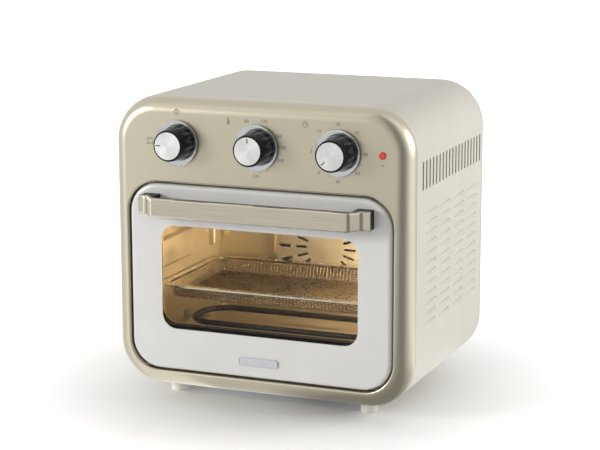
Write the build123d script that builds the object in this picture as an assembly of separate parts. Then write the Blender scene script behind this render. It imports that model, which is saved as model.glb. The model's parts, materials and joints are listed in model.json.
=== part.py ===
from build123d import *
from math import atan2, cos, radians, sin, tan
import os

# Countertop convection oven: rounded box body, bottom-hinged front door, three control knobs.
# Millimetres. X is right, Y goes from the front into the oven, Z is up.
# Pieces are drawn from the front plane (Y = 0) and the underside of the body (Z = 0),
# and moved to the middle of the footprint on the table at the end.

# Body
BODY_W = 330.0
BODY_H = 310.0
BODY_D = 247.4
BODY_R = 48.7
SHEET = 1.0
SEAM = 0.6

# Front frame: a moulding whose outer edge rolls back in a quarter ellipse
FRAME_DEPTH = 20.0
ROLL_INSET = 15.2
FRAME_WALL = 2.5
SLEEVE_WALL = 2.0
LIP_INSET = SHEET + 0.2
LIP_WALL = 1.5
LIP_OVERLAP = 8.0
OPENING_EDGE_R = 2.0

# Door
DOOR_MARGIN = 19.5
PANEL_H = 91.0
DOOR_W = BODY_W - 2 * DOOR_MARGIN
DOOR_Z = 20.0
DOOR_H = BODY_H - DOOR_Z - PANEL_H
DOOR_R_EASE = 1.8
DOOR_R = BODY_R - DOOR_MARGIN + DOOR_R_EASE
DOOR_GAP = 2.0
DOOR_DEPTH = 16.0
DOOR_WALL = 1.5
DOOR_EDGE_R = 4.0
HINGE_Y = 2.5
HINGE_Z = DOOR_Z + 2.5
PIN_R = 1.4
PIN_FIT = 0.05
PIN_L = 40.5
PIN_OUTER_X = DOOR_W / 2 - 7.0
PIN_INNER_X = PIN_OUTER_X - PIN_L
PIN_BLOCK = 10.0
PIN_BLOCK_RISE = 5.0
SOCKET_X = (PIN_OUTER_X - 7.5, PIN_OUTER_X + 1.0)
SOCKET_Y = (1.0, 12.0)
SOCKET_HALF = 3.5
FINGER_X = (PIN_OUTER_X - 4.1, PIN_OUTER_X - 1.1)
FINGER_FIT = 0.1
TOE_W = 9.0
TOE_T = 2.0
TOE_DROP = 5.0

# Window and glazing
WINDOW_SIDE = 35.5
WINDOW_FOOT = 44.8
WINDOW_HEAD = 43.0
WINDOW_W = DOOR_W - 2 * WINDOW_SIDE
WINDOW_Z = DOOR_Z + WINDOW_FOOT
WINDOW_H = DOOR_H - WINDOW_FOOT - WINDOW_HEAD
WINDOW_R = 16.0
GLASS_T = 4.0
GLASS_MARGIN = 8.0
GLAZING_RIM = 4.0
GLAZING_SIDE = 5.5
GLAZING_RISE = 2.7

# Door liner and seal
LINER_T = 0.8
LINER_GAP = 0.2
LINER_FIELD_SIDE = 17.5
LINER_FIELD_W = DOOR_W - 2 * LINER_FIELD_SIDE
LINER_FIELD_Z0 = DOOR_Z + 24.0
LINER_FIELD_Z1 = DOOR_Z + DOOR_H - 27.0
LINER_FIELD_R = 12.0
LINER_RAISE = 1.8
SEAL_INSET = 3.5
SEAL_FACE = 11.0
SEAL_W = 5.0
SEAL_R = 17.0
SEAL_EDGE_R = 1.5
SEAL_GAP = 0.3

# Handle: a steel strip with rounded long edges, wrapped over the front of a black grip
HANDLE_Z = DOOR_Z + DOOR_H - 20.1
HANDLE_H = 20.0
HANDLE_REACH = 28.5
HANDLE_HALF = DOOR_W / 2 - 17.5
HANDLE_STEP = 13.0
STEP_START = HANDLE_HALF - 18.5
STEP_END = HANDLE_HALF - 8.5
STRIP_T = 1.2
STRIP_LAP = 3.6
STRIP_BEND = 6.0
STRIP_EDGE_R = 2.6
GRIP_T = 8.0
GRIP_EDGE = 0.2
POST_W = 17.0
POST_X = HANDLE_HALF - 1.0 - POST_W / 2
POST_ROUND = 4.0

# Badge plate, bare
BADGE_W = 44.0
BADGE_H = 9.0
BADGE_T = 1.6
BADGE_Z = 37.5
BADGE_R = 2.5
BADGE_RIM = 1.1
BADGE_SINK = 0.6

# Knobs
KNOB_Z = BODY_H - 46.5
KNOB_PITCH = 89.0
KNOB_GAP = 0.5
SKIRT_R = 23.75
SKIRT_H = 4.6
SKIRT_CHAMFER = 1.5
SKIRT_ROUND = 0.4
SKIRT_LIP = 1.5
SKIRT_STEP = 0.5
DISH_DEPTH = 0.9
KNOB_BASE_R = 18.0
KNOB_TOP_R = 16.2
KNOB_FRONT = 24.0
KNOB_EDGE_R = 1.2
KNOB_FLUTES = 12
FLUTE_R = 5.0
FLUTE_DEPTH = 1.2
FACE_R = 14.2
FACE_T = 1.0
FACE_SINK = 0.5
POINTER_L = 6.0
POINTER_W = 1.2
POINTER_DEPTH = 0.4
POINTER_END_R = POINTER_W / 2.1
SHAFT_R = 3.0
SHAFT_FIT = 0.05
SHAFT_FRONT = 16.0
SHAFT_REAR = 18.0
SHAFT_HOLE = 3.6

# Controls behind the panel
CONTROL_Y = 10.0
CONTROL_T = 1.2
CONTROL_W = 2 * KNOB_PITCH + 54.0
CONTROL_H = 56.0
CONTROL_BOSS_X = KNOB_PITCH / 2
CONTROL_BOSS_Z = 20.0
BOSS_R = 4.0
SWITCH_SIZE = 34.0
SWITCH_DEPTH = 29.0
SWITCH_CORNER_R = 4.0
THERMOSTAT_R = 19.0
THERMOSTAT_CAP_R = 13.0
THERMOSTAT_DEPTH = 22.0
TIMER_R = 24.0
TIMER_CAP_R = 19.0
TIMER_DEPTH = 34.0
LAMP_X = BODY_W / 2 - 29.6
LAMP_R = 3.4
LAMP_HEAD_R = 4.0
LAMP_DOME = 2.0
LAMP_DEPTH = 20.0
LAMP_FIT = 0.1

# Oven cavity
CAVITY_SIDE = 11.5
CAVITY_W = DOOR_W - 2 * CAVITY_SIDE
CAVITY_Z0 = DOOR_Z + 20.0
CAVITY_Z1 = DOOR_Z + DOOR_H - 19.0
REAR_SPACE = 50.4
CAVITY_BACK = BODY_D - REAR_SPACE
CAVITY_R = 8.0
CAVITY_SHEET = 0.8
FLANGE_INSET = 6.0
FLANGE_R = 40.0
FLANGE_BOSS_X = BODY_W / 2 - 11.5
FLANGE_BOSS_Z = (75.0, 165.0)
FLANGE_TOP_X = 70.0
FLANGE_TOP_Z = DOOR_Z + DOOR_H + 8.0
FLANGE_BOSS_R = 2.8
FLANGE_TOP = FLANGE_TOP_Z + 7.0

# Oven lamp in the right wall, behind the front runner bars
OVEN_LAMP_BACK = 53.0
OVEN_LAMP_Y = CAVITY_BACK - OVEN_LAMP_BACK
OVEN_LAMP_Z = 134.0
OVEN_LENS_R = 18.0
OVEN_LENS_RISE = 4.0
OVEN_LENS_RIM = 1.5
OVEN_HOLDER_D = 22.0
OVEN_HOLDER_WALL = 1.5
BULB_R = 6.0

# Runner bars pressed into the side walls, as (bottom, top) heights
CAVITY_H = CAVITY_Z1 - CAVITY_Z0
BAR_SHARES = ((0.1625, 0.3875), (0.4875, 0.6875), (0.7625, 0.875))
BARS = [(CAVITY_Z0 + CAVITY_H * low, CAVITY_Z0 + CAVITY_H * high) for low, high in BAR_SHARES]
BAR_LENS_GAP = 9.0
BAR_SPANS = ((40.0, OVEN_LAMP_Y - OVEN_LENS_R - BAR_LENS_GAP), (CAVITY_BACK - 25.0, CAVITY_BACK - 7.0))
BAR_DEPTH = 6.0
BAR_ROUND = 3.0

# Basket
BASKET_PLAY = 3.0
BASKET_HALF = CAVITY_W / 2 - BASKET_PLAY
BASKET_Y0 = 28.0
BASKET_Y1 = CAVITY_BACK - 10.0
BASKET_R = 22.0
BASKET_SEAT = 0.3
RIM_W = 8.0
RIM_T = 1.6
MESH_DEPTH = 14.0
MESH_T = 1.2
MESH_TAPER = 4.0

# Crumb tray
TRAY_GAP = 0.5
TRAY_Y0 = 23.0
TRAY_Y1 = CAVITY_BACK - 3.0
TRAY_H = 6.0
TRAY_T = 0.8
TRAY_R = 6.0

# Heating elements
TUBE_R = 3.25
UPPER_Z = CAVITY_Z1 - 11.0
LOWER_Z = CAVITY_Z0 + 14.0
ELEMENT_Y = (75.0, 145.0)
ELEMENT_LEFT = CAVITY_W / 2 - 16.0
ELEMENT_RIGHT = CAVITY_W / 2 + 18.0
ELEMENT_BEND = 30.0
BUSH_R = 6.0
BUSH_NECK_R = 4.6
BUSH_T = 4.0
TUBE_FIT = 0.1
CLIP_W = 12.0
CLIP_T = 1.2
CLIP_TAB = 6.0
CLIP_REACH = 26.0

# Convection fan, behind the back wall
FAN_Z = (CAVITY_Z0 + CAVITY_Z1) / 2
FAN_OPENING_R = 64.0
COVER_R = 72.6
COVER_RAISE = 4.0
COVER_FACE_R = 60.0
COVER_T = 0.8
COVER_SLOTS = 20
COVER_RINGS = ((22.0, 36.0, 3.0), (42.0, 56.0, 4.0))
COVER_SCREW_R = 68.6
PAN_R = 66.0
PAN_DEPTH = 20.0
PAN_HOLE_R = 8.0
PAN_FLANGE = 6.4
FAN_R = 54.0
FAN_VANES = 10
FAN_BACK = CAVITY_BACK + 16.0
VANE_H = 9.0
VANE_T = 1.0
VANE_INNER = 20.0
VANE_SWEEP = 28.0
HUB_R = 8.0
FAN_SHAFT_R = 3.0
FAN_SHAFT_Y0 = CAVITY_BACK + 4.0
FAN_SHAFT_Y1 = CAVITY_BACK + 39.0
MOTOR_W = 50.0
MOTOR_H = 46.0
MOTOR_T = 16.0
MOTOR_BOSS_R = 10.0
COIL_H = 14.0
COIL_HALF = MOTOR_W / 3

# Housing vents
HOUSING_Y0 = FRAME_DEPTH + SEAM
BACK_COVER = 4.4
HOUSING_Y1 = BODY_D - BACK_COVER - SEAM
SLOTS = 19
SLOT_Y0 = 39.5
SLOT_PITCH = (HOUSING_Y1 - 8.5 - SLOT_Y0) / (SLOTS - 1)
SLOT_Z0 = BODY_H - 86.5
SLOT_H = 30.0
SLOT_W = 4.0
LOUVRE_COLUMNS = 4
LOUVRE_END = HOUSING_Y1 - 21.7
LOUVRE_STEP = 46.5
LOUVRE_ROWS = 12
LOUVRE_Z0 = 81.6
LOUVRE_PITCH = (SLOT_Z0 - 25.3 - LOUVRE_Z0) / (LOUVRE_ROWS - 1)
LOUVRE_L = 30.0
LOUVRE_R = 2.6
LOUVRE_TIP = 0.5
LOUVRE_SKIN = 0.8

# Base, back and feet
BASE_HALF = BODY_W / 2 - BODY_R - 0.3
BASE_FLANGE_X = BASE_HALF - 20.0
BASE_T = 1.2
BASE_Y0 = FRAME_DEPTH + LIP_OVERLAP + 0.5
BASE_SLOTS = 7
BASE_SLOT_L = 60.0
BASE_SLOT_PITCH = 14.0
BASE_SLOT_W = BASE_SLOT_PITCH / 3
BACK_T = 1.2
BACK_EDGE_R = 1.5
BACK_FLANGE_W = 13.0
BACK_SCREW_IN = 7.5
BACK_SCREWS = ((BODY_W / 2 - BACK_SCREW_IN, 80.0), (BODY_W / 2 - BACK_SCREW_IN, 230.0),
               (75.0, BODY_H - BACK_SCREW_IN), (75.0, BACK_SCREW_IN))
DIMPLE_R = 4.5
BACK_SLOTS = 9
BACK_SLOT_L = 34.0
BACK_SLOT_W = 4.0
BACK_SLOT_PITCH = 9.0
BACK_SLOT_X = 52.0
BACK_SLOT_Z = 84.0
FOOT_X = BASE_HALF - 7.0
FOOT_Y = (38.0, BODY_D - 35.4)
FOOT_H = 13.0
FOOT_R = 9.25
FOOT_TAPER = 0.6
FOOT_EDGE_R = 1.0
FOOT_BORE = 6.0

# Heat shield
SHIELD_GAP = 7.0
SHIELD_HALF = CAVITY_W / 2 + 6.0
SHIELD_Y = (30.0, BODY_D - 17.4)
SHIELD_LEG_X = SHIELD_HALF - 22.0
SHIELD_LEG_W = 12.0
SHIELD_T = 0.8

# Mains inlet and wiring
GLAND_X = BODY_W / 2 - 45.0
GLAND_Z = 30.0
GLAND_R = 7.0
GLAND_FLANGE_R = 9.5
GLAND_NOSE = 9.0
GLAND_FLANGE_T = GLAND_NOSE / 3
GLAND_BORE = 3.6
TERMINAL_Z = 70.0
TERMINAL_SIZE = (30.0, 16.0, 18.0)
LOOM_R = 3.0
LOOM_BEND = 18.0
LOOM_Y = BODY_D - 22.4
LOOM_TOP = CAVITY_Z1 + 26.0

# Screws, one size through the whole oven
SCREW_R = 1.9
SCREW_HEAD_R = 3.6
SCREW_HEAD_H = 2.2
SCREW_FIT = 0.2
DOOR_SCREW_L = 24.0
CASE_SCREW_L = 8.0
FOOT_SCREW_L = 12.0
COVER_SCREW_L = 5.0

CUT = 1.0
NEAR = 0.1
PANEL_X = (-KNOB_PITCH, 0.0, KNOB_PITCH)
POINTER_ANGLES = (90.0, 0.0, 135.0)
LINER_Y = DOOR_DEPTH - LINER_T - LINER_GAP
SWITCH_Y = CONTROL_Y + CONTROL_T
WALL_X = CAVITY_W / 2
FRONT_Y = -HANDLE_REACH
REAR_Y = BODY_D + GLAND_NOSE
TO_TABLE = Pos(0, -(FRONT_Y + REAR_Y) / 2, FOOT_H)


def slab(sketch, y0, y1):
    """Solid between two planes parallel to the front, from a sketch in X and Z."""
    return extrude(Plane.XZ.offset(-y0) * sketch, amount=y0 - y1)


def disc(radius, y0, y1, x=0.0, z=0.0):
    return slab(Pos(x, z) * Circle(radius), y0, y1)


def block(x0, x1, y0, y1, z0, z1):
    middle = Pos((x0 + x1) / 2, (y0 + y1) / 2, (z0 + z1) / 2)
    return middle * Box(abs(x1 - x0), abs(y1 - y0), abs(z1 - z0))


def both_sides(shape):
    return [shape, mirror(shape, about=Plane.YZ)]


def screw(length):
    """Pan-head screw along Y, its head in front of Y = 0."""
    return disc(SCREW_HEAD_R, -SCREW_HEAD_H, 0) + disc(SCREW_R, -CUT / 2, length)


def body_outline(inset=0.0):
    size = RectangleRounded(BODY_W - 2 * inset, BODY_H - 2 * inset, BODY_R - inset)
    return Pos(0, BODY_H / 2) * size


def door_outline(grow=0.0):
    size = RectangleRounded(DOOR_W + 2 * grow, DOOR_H + 2 * grow, DOOR_R + grow)
    return Pos(0, DOOR_Z + DOOR_H / 2) * size


def window_outline(grow=0.0):
    size = RectangleRounded(WINDOW_W + 2 * grow, WINDOW_H + 2 * grow, WINDOW_R + grow)
    return Pos(0, WINDOW_Z + WINDOW_H / 2) * size


def outline_between(half_width, z0, z1, radius):
    return Pos(0, (z0 + z1) / 2) * RectangleRounded(2 * half_width, z1 - z0, radius)


# Casing

def roll_section():
    """Cross-section of the frame's rolled edge: X is outwards, Y is depth."""
    inner_x = ROLL_INSET - FRAME_WALL
    inner_y = FRAME_DEPTH - FRAME_WALL
    outer = EllipticalCenterArc((0, FRAME_DEPTH), ROLL_INSET, FRAME_DEPTH, start_angle=270, arc_size=90)
    inner = EllipticalCenterArc((0, FRAME_DEPTH), inner_x, inner_y, start_angle=270, arc_size=90)
    ends = [Line(outer @ 0, inner @ 0), Line(outer @ 1, inner @ 1)]
    return make_face([outer, inner] + ends)


def rolled_rim():
    """The rolled edge carried round the body outline, one quarter mirrored twice."""
    section = roll_section()
    side_x = BODY_W / 2 - ROLL_INSET
    corner_x = BODY_W / 2 - BODY_R
    corner_z = BODY_H - BODY_R
    side = extrude(Pos(side_x, 0, BODY_H / 2) * section, amount=BODY_H / 2 - BODY_R)
    corner = revolve(Pos(side_x, 0, corner_z) * section, Axis((corner_x, 0, corner_z), (0, -1, 0)), 90)
    upright = Pos(corner_x, 0, BODY_H - ROLL_INSET) * Rot(0, -90, 0) * section
    top = extrude(upright, amount=corner_x)
    quarter = side + corner + top
    half = quarter + mirror(quarter, about=Plane.YZ)
    return half + mirror(half, about=Plane.XY.offset(BODY_H / 2))


def front_frame():
    """Champagne moulding: control panel above, a sleeve round the door opening below."""
    frame = rolled_rim() + slab(body_outline(ROLL_INSET), 0, FRAME_WALL)
    frame += slab(door_outline(DOOR_GAP + SLEEVE_WALL), 0, FRAME_DEPTH)
    frame += slab(body_outline(LIP_INSET) - body_outline(LIP_INSET + LIP_WALL),
                  FRAME_DEPTH - FRAME_WALL, FRAME_DEPTH + LIP_OVERLAP)
    bosses = [disc(FLANGE_BOSS_R, FRAME_WALL, FRAME_DEPTH, FLANGE_TOP_X, FLANGE_TOP_Z)]
    bosses += [disc(FLANGE_BOSS_R, FRAME_WALL, FRAME_DEPTH, FLANGE_BOSS_X, z) for z in FLANGE_BOSS_Z]
    bosses += [disc(BOSS_R, FRAME_WALL, CONTROL_Y, CONTROL_BOSS_X, KNOB_Z + side * CONTROL_BOSS_Z)
               for side in (-1, 1)]
    for boss in bosses:
        frame += both_sides(boss)
    for boss in both_sides(block(*SOCKET_X, *SOCKET_Y, HINGE_Z - SOCKET_HALF, HINGE_Z + SOCKET_HALF)):
        frame += boss
    frame -= slab(door_outline(DOOR_GAP), -CUT, FRAME_DEPTH + CUT)
    frame = fillet(frame.edges().filter_by(on_opening_rim), OPENING_EDGE_R)
    frame -= [disc(SHAFT_HOLE, -CUT, FRAME_WALL + CUT, x, KNOB_Z) for x in PANEL_X]
    frame -= disc(LAMP_R + LAMP_FIT, -CUT, FRAME_WALL + CUT, LAMP_X, KNOB_Z)
    socket = hinge_rod(PIN_R + PIN_FIT, DOOR_W / 2 - DOOR_R, PIN_OUTER_X + PIN_FIT)
    return frame - both_sides(socket + hinge_finger(FINGER_FIT))


def on_opening_rim(edge):
    """True for the front edges of the door opening, which get rounded."""
    box = edge.bounding_box()
    flat = box.max.Y < NEAR and box.min.Y > -NEAR
    inside = abs(edge.center().X) < DOOR_W / 2 + DOOR_GAP + NEAR
    below = DOOR_Z - DOOR_GAP - NEAR < edge.center().Z < DOOR_Z + DOOR_H + DOOR_GAP + NEAR
    return flat and inside and below


def edges_at(shape, axis, value):
    return shape.edges().filter_by_position(axis, value - NEAR, value + NEAR)


def hinge_rod(radius, x0, x1):
    return Pos((x0 + x1) / 2, HINGE_Y, HINGE_Z) * Rot(0, 90, 0) * Cylinder(radius, x1 - x0)


def hinge_finger(grow=0.0):
    half = PIN_R + grow
    return block(FINGER_X[0] - grow, FINGER_X[1] + grow, HINGE_Y, FRAME_DEPTH, HINGE_Z - half, HINGE_Z + half)


def hinge_bracket():
    """Right bracket: a finger that shuts the frame's pin socket, and a toe on the cavity flange."""
    toe = block(FINGER_X[1], FINGER_X[1] + TOE_W, FRAME_DEPTH - TOE_T, FRAME_DEPTH,
                HINGE_Z - TOE_DROP, HINGE_Z + PIN_R)
    return hinge_finger() + toe - hinge_rod(PIN_R + PIN_FIT, FINGER_X[0] - CUT, FINGER_X[1] + CUT)


def vent_slots():
    """Row of upright slots high on the right side."""
    slot = Plane.YZ * SlotOverall(SLOT_H, SLOT_W, rotation=90)
    cutter = extrude(Pos(BODY_W / 2 + CUT, 0, 0) * slot, amount=-SHEET - 2 * CUT)
    places = [Pos(0, SLOT_Y0 + SLOT_PITCH * i, SLOT_Z0 + SLOT_H / 2) for i in range(SLOTS)]
    return [place * cutter for place in places]


def louvre_cone(mouth, tip):
    """Cone lying along Y in the plane of the right side, mouth at the rear."""
    return Pos(BODY_W / 2, -LOUVRE_L / 2, 0) * Rot(-90, 0, 0) * Cone(tip, mouth, LOUVRE_L)


def louvre_places():
    return [Pos(0, LOUVRE_END - LOUVRE_STEP * column, LOUVRE_Z0 + LOUVRE_PITCH * row)
            for column in range(LOUVRE_COLUMNS) for row in range(LOUVRE_ROWS)]


def housing_wrap():
    """Cream sheet wrapped round the top, sides and lower corners."""
    half_space = block(0, BODY_W, -BODY_D, 2 * BODY_D, -CUT, BODY_H + CUT)
    wrap = slab(body_outline() - body_outline(SHEET), HOUSING_Y0, HOUSING_Y1)
    rear = slab(body_outline() - body_outline(BACK_FLANGE_W), HOUSING_Y1 - SHEET, HOUSING_Y1)
    wrap = (wrap + rear) & half_space
    wrap -= block(-CUT, BASE_FLANGE_X, HOUSING_Y0 - CUT, HOUSING_Y1 - SHEET, -CUT, SHEET + CUT)
    outside = block(BODY_W / 2, BODY_W, -LOUVRE_L - CUT, CUT, -LOUVRE_R - CUT, LOUVRE_R + CUT)
    hollow = louvre_cone(LOUVRE_R - LOUVRE_SKIN, LOUVRE_TIP / 2)
    bump = (louvre_cone(LOUVRE_R, LOUVRE_TIP) - hollow) & outside
    wrap -= vent_slots() + [place * hollow for place in louvre_places()]
    wrap += [place * bump for place in louvre_places()]
    for x, z in BACK_SCREWS:
        wrap -= disc(SCREW_R + SCREW_FIT, HOUSING_Y1 - SHEET - CUT, HOUSING_Y1 + CUT, x, z)
    for y in FOOT_Y:
        wrap -= Pos(FOOT_X, y, 0) * Cylinder(SCREW_R + SCREW_FIT, 4 * SHEET)
    return wrap + mirror(wrap, about=Plane.YZ)


def back_panel():
    """Shallow pressed cover with motor vents, screw dimples and the cord hole."""
    panel = slab(body_outline(), HOUSING_Y1 + SEAM, BODY_D)
    panel = fillet(edges_at(panel, Axis.Y, BODY_D), BACK_EDGE_R)
    panel -= slab(body_outline(BACK_T), HOUSING_Y1, BODY_D - BACK_T)
    for x, z in BACK_SCREWS:
        for side in (-1, 1):
            panel += disc(DIMPLE_R, HOUSING_Y1, BODY_D - BACK_T / 2, side * x, z)
    for x, z in BACK_SCREWS:
        for side in (-1, 1):
            panel -= disc(SCREW_HEAD_R + SCREW_FIT, HOUSING_Y1 + BACK_T, BODY_D + CUT, side * x, z)
            panel -= disc(SCREW_R + SCREW_FIT, HOUSING_Y1 - CUT, BODY_D, side * x, z)
    slot = Plane.XZ * SlotOverall(BACK_SLOT_L, BACK_SLOT_W)
    cutter = extrude(Pos(0, BODY_D + CUT, 0) * slot, amount=BACK_COVER + 2 * CUT)
    panel -= [Pos(side * BACK_SLOT_X, 0, BACK_SLOT_Z + BACK_SLOT_PITCH * i) * cutter
              for side in (-1, 1) for i in range(BACK_SLOTS)]
    return panel - disc(GLAND_R, HOUSING_Y1, BODY_D + CUT, GLAND_X, GLAND_Z)


def back_screws():
    heads = [Pos(side * x, HOUSING_Y1 + BACK_T, z) * Rot(0, 0, 180) * screw(CASE_SCREW_L)
             for x, z in BACK_SCREWS for side in (-1, 1)]
    return Compound(children=heads)


def bottom_plate():
    """Base sheet lying on the inward flanges of the housing, with intake slots."""
    plate = block(-BASE_HALF, BASE_HALF, BASE_Y0, HOUSING_Y1 - SHEET - SEAM, SHEET, SHEET + BASE_T)
    slot = SlotOverall(BASE_SLOT_L, BASE_SLOT_W, rotation=90)
    cutter = extrude(slot, amount=2 * SHEET + BASE_T)
    start = -(BASE_SLOTS - 1) / 2
    middle = (FOOT_Y[0] + FOOT_Y[1]) / 2
    plate -= [Pos(BASE_SLOT_PITCH * (start + i), middle, 0) * cutter for i in range(BASE_SLOTS)]
    holes = [Pos(side * FOOT_X, y, SHEET) * Cylinder(SCREW_R + SCREW_FIT, 4 * BASE_T)
             for side in (-1, 1) for y in FOOT_Y]
    return plate - holes


def foot(x, y):
    """Tapered plastic foot with a counterbore for its screw."""
    body = Cone(FOOT_R - FOOT_TAPER, FOOT_R, FOOT_H)
    body = fillet(body.edges().sort_by(Axis.Z)[0], FOOT_EDGE_R)
    bore = Pos(0, 0, -FOOT_H / 2 + FOOT_BORE / 2) * Cylinder(SCREW_HEAD_R + 2 * SCREW_FIT, FOOT_BORE)
    body = body - bore - Cylinder(SCREW_R + SCREW_FIT, FOOT_H)
    return Pos(x, y, -FOOT_H / 2) * body


def foot_screws():
    upright = Pos(0, 0, -FOOT_H + FOOT_BORE) * Rot(90, 0, 0) * screw(FOOT_SCREW_L)
    return Compound(children=[Pos(side * FOOT_X, y, 0) * upright for side in (-1, 1) for y in FOOT_Y])


# Oven cavity

def pressed_bar(z0, z1, y0, y1, inset):
    """Bar pressed inwards from the right wall; inset shrinks it to the hollow behind."""
    depth = BAR_DEPTH - inset
    bar = block(WALL_X - depth, WALL_X + CAVITY_SHEET + inset, y0 + inset, y1 - inset, z0 + inset, z1 - inset)
    return fillet(edges_at(bar, Axis.X, WALL_X - depth), BAR_ROUND - inset)


def oven_cavity():
    """Steel liner: front flange, box, fan opening and pressed runner bars."""
    inner = Pos(0, FAN_Z) * RectangleRounded(CAVITY_W, CAVITY_H, CAVITY_R)
    outer = offset(inner, CAVITY_SHEET)
    flange = outline_between(BODY_W / 2 - FLANGE_INSET, FLANGE_INSET, FLANGE_TOP, FLANGE_R)
    liner = slab(flange, FRAME_DEPTH, FRAME_DEPTH + CAVITY_SHEET)
    liner += slab(outer, FRAME_DEPTH, CAVITY_BACK + CAVITY_SHEET)
    liner -= slab(inner, FRAME_DEPTH - CUT, CAVITY_BACK)
    for z0, z1 in BARS:
        for y0, y1 in BAR_SPANS:
            for bump in both_sides(pressed_bar(z0, z1, y0, y1, 0)):
                liner += bump
            liner -= both_sides(pressed_bar(z0, z1, y0, y1, CAVITY_SHEET))
    liner -= disc(FAN_OPENING_R, CAVITY_BACK - CUT, CAVITY_BACK + 2 * CAVITY_SHEET, 0, FAN_Z)
    for x, z in cover_screw_places():
        liner -= disc(SCREW_R + SCREW_FIT, CAVITY_BACK - CUT, CAVITY_BACK + 2 * CAVITY_SHEET, x, z)
    for y in ELEMENT_Y:
        for z in (UPPER_Z, LOWER_Z):
            liner -= side_rod(BUSH_NECK_R + TUBE_FIT, WALL_X - CUT, WALL_X + 2 * CUT, y, z)
    liner -= side_rod(OVEN_LENS_R - OVEN_LENS_RISE, WALL_X - CUT, WALL_X + 2 * CUT, OVEN_LAMP_Y, OVEN_LAMP_Z)
    return liner


def side_rod(radius, x0, x1, y, z):
    return Pos((x0 + x1) / 2, y, z) * Rot(0, 90, 0) * Cylinder(radius, abs(x1 - x0))


def heat_shield():
    """Folded sheet on two legs over the cavity, below the controls."""
    base = CAVITY_Z1 + CAVITY_SHEET
    shield = block(-SHIELD_HALF, SHIELD_HALF, *SHIELD_Y, base + SHIELD_GAP, base + SHIELD_GAP + SHIELD_T)
    shield -= both_sides(loom_hole())
    leg_y1 = CAVITY_BACK
    leg = block(SHIELD_LEG_X, SHIELD_LEG_X + SHIELD_T, SHIELD_Y[0], leg_y1, base, base + SHIELD_GAP)
    toe = block(SHIELD_LEG_X - SHIELD_LEG_W, SHIELD_LEG_X, SHIELD_Y[0], leg_y1, base, base + SHIELD_T)
    for piece in both_sides(leg + toe):
        shield += piece
    return shield


def loom_hole():
    return Pos(GLAND_X, LOOM_Y, CAVITY_Z1 + SHIELD_GAP) * Box(4 * LOOM_R, 8 * LOOM_R, 4 * SHIELD_GAP)


def crumb_tray():
    """Shallow tray on the flat of the cavity floor, between its rounded corners."""
    plan = Pos(0, (TRAY_Y0 + TRAY_Y1) / 2)
    outer = plan * RectangleRounded(2 * (WALL_X - CAVITY_R - TRAY_GAP), TRAY_Y1 - TRAY_Y0, TRAY_R)
    inner = offset(outer, -TRAY_T)
    tray = extrude(Pos(0, 0, CAVITY_Z0) * outer, amount=TRAY_H)
    return tray - extrude(Pos(0, 0, CAVITY_Z0 + TRAY_T) * inner, amount=TRAY_H)


def heating_element(z):
    """Tubular element bent to a U, its ends through the right wall."""
    front, rear = ELEMENT_Y
    corners = [(ELEMENT_RIGHT, front, z), (-ELEMENT_LEFT, front, z), (-ELEMENT_LEFT, rear, z), (ELEMENT_RIGHT, rear, z)]
    path = FilletPolyline(*corners, radius=ELEMENT_BEND)
    ring = Plane(path @ 0, z_dir=path % 0) * Circle(TUBE_R)
    return sweep(ring, path=path)


def element_bushes():
    bushes = []
    for y in ELEMENT_Y:
        for z in (UPPER_Z, LOWER_Z):
            head = side_rod(BUSH_R, WALL_X + CAVITY_SHEET, WALL_X + CAVITY_SHEET + BUSH_T, y, z)
            neck = side_rod(BUSH_NECK_R, WALL_X - CUT, WALL_X + CAVITY_SHEET + CUT, y, z)
            bore = side_rod(TUBE_R + TUBE_FIT, WALL_X - 2 * CUT, WALL_X + CAVITY_SHEET + BUSH_T + CUT, y, z)
            bushes.append(head + neck - bore)
    return Compound(children=bushes)


def element_clips():
    """Angle clips on the left wall, one under the bend of each element."""
    y0 = (sum(ELEMENT_Y) - CLIP_W) / 2
    y1 = y0 + CLIP_W
    clips = []
    for z in (UPPER_Z, LOWER_Z):
        top = z - TUBE_R - TUBE_FIT
        shelf = block(-WALL_X, CLIP_REACH - WALL_X, y0, y1, top - CLIP_T, top)
        clips.append(shelf + block(-WALL_X, CLIP_T - WALL_X, y0, y1, top - CLIP_T, top + CLIP_TAB))
    return Compound(children=clips)


# Fan

def cover_screw_places():
    quarters = [radians(45 + 90 * i) for i in range(4)]
    return [(COVER_SCREW_R * cos(a), FAN_Z + COVER_SCREW_R * sin(a)) for a in quarters]


def fan_cover():
    """Dished guard over the fan, pierced by two rings of radial slots."""
    front = CAVITY_BACK - COVER_T
    face = front - COVER_RAISE
    slope = COVER_RAISE + COVER_T
    outer = Polyline((0, face), (COVER_FACE_R, face), (COVER_FACE_R + slope, front), (COVER_R, front),
                     (COVER_R, CAVITY_BACK), (COVER_FACE_R + slope - COVER_T / 2, CAVITY_BACK),
                     (COVER_FACE_R - COVER_T / 2, face + COVER_T), (0, face + COVER_T), close=True)
    cover = Pos(0, 0, FAN_Z) * revolve(make_face(outer), Axis.Y)
    for r0, r1, width in COVER_RINGS:
        slot = Pos((r0 + r1) / 2, 0) * SlotOverall(r1 - r0, width)
        cutter = slab(slot, face - CUT, CAVITY_BACK + CUT)
        cover -= [Pos(0, 0, FAN_Z) * Rot(0, 360 / COVER_SLOTS * i, 0) * cutter for i in range(COVER_SLOTS)]
    return cover - [disc(SCREW_R + SCREW_FIT, face - CUT, CAVITY_BACK + CUT, x, z)
                    for x, z in cover_screw_places()]


def fan_cover_screws():
    front = CAVITY_BACK - COVER_T
    return Compound(children=[Pos(x, front, z) * screw(COVER_SCREW_L) for x, z in cover_screw_places()])


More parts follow.
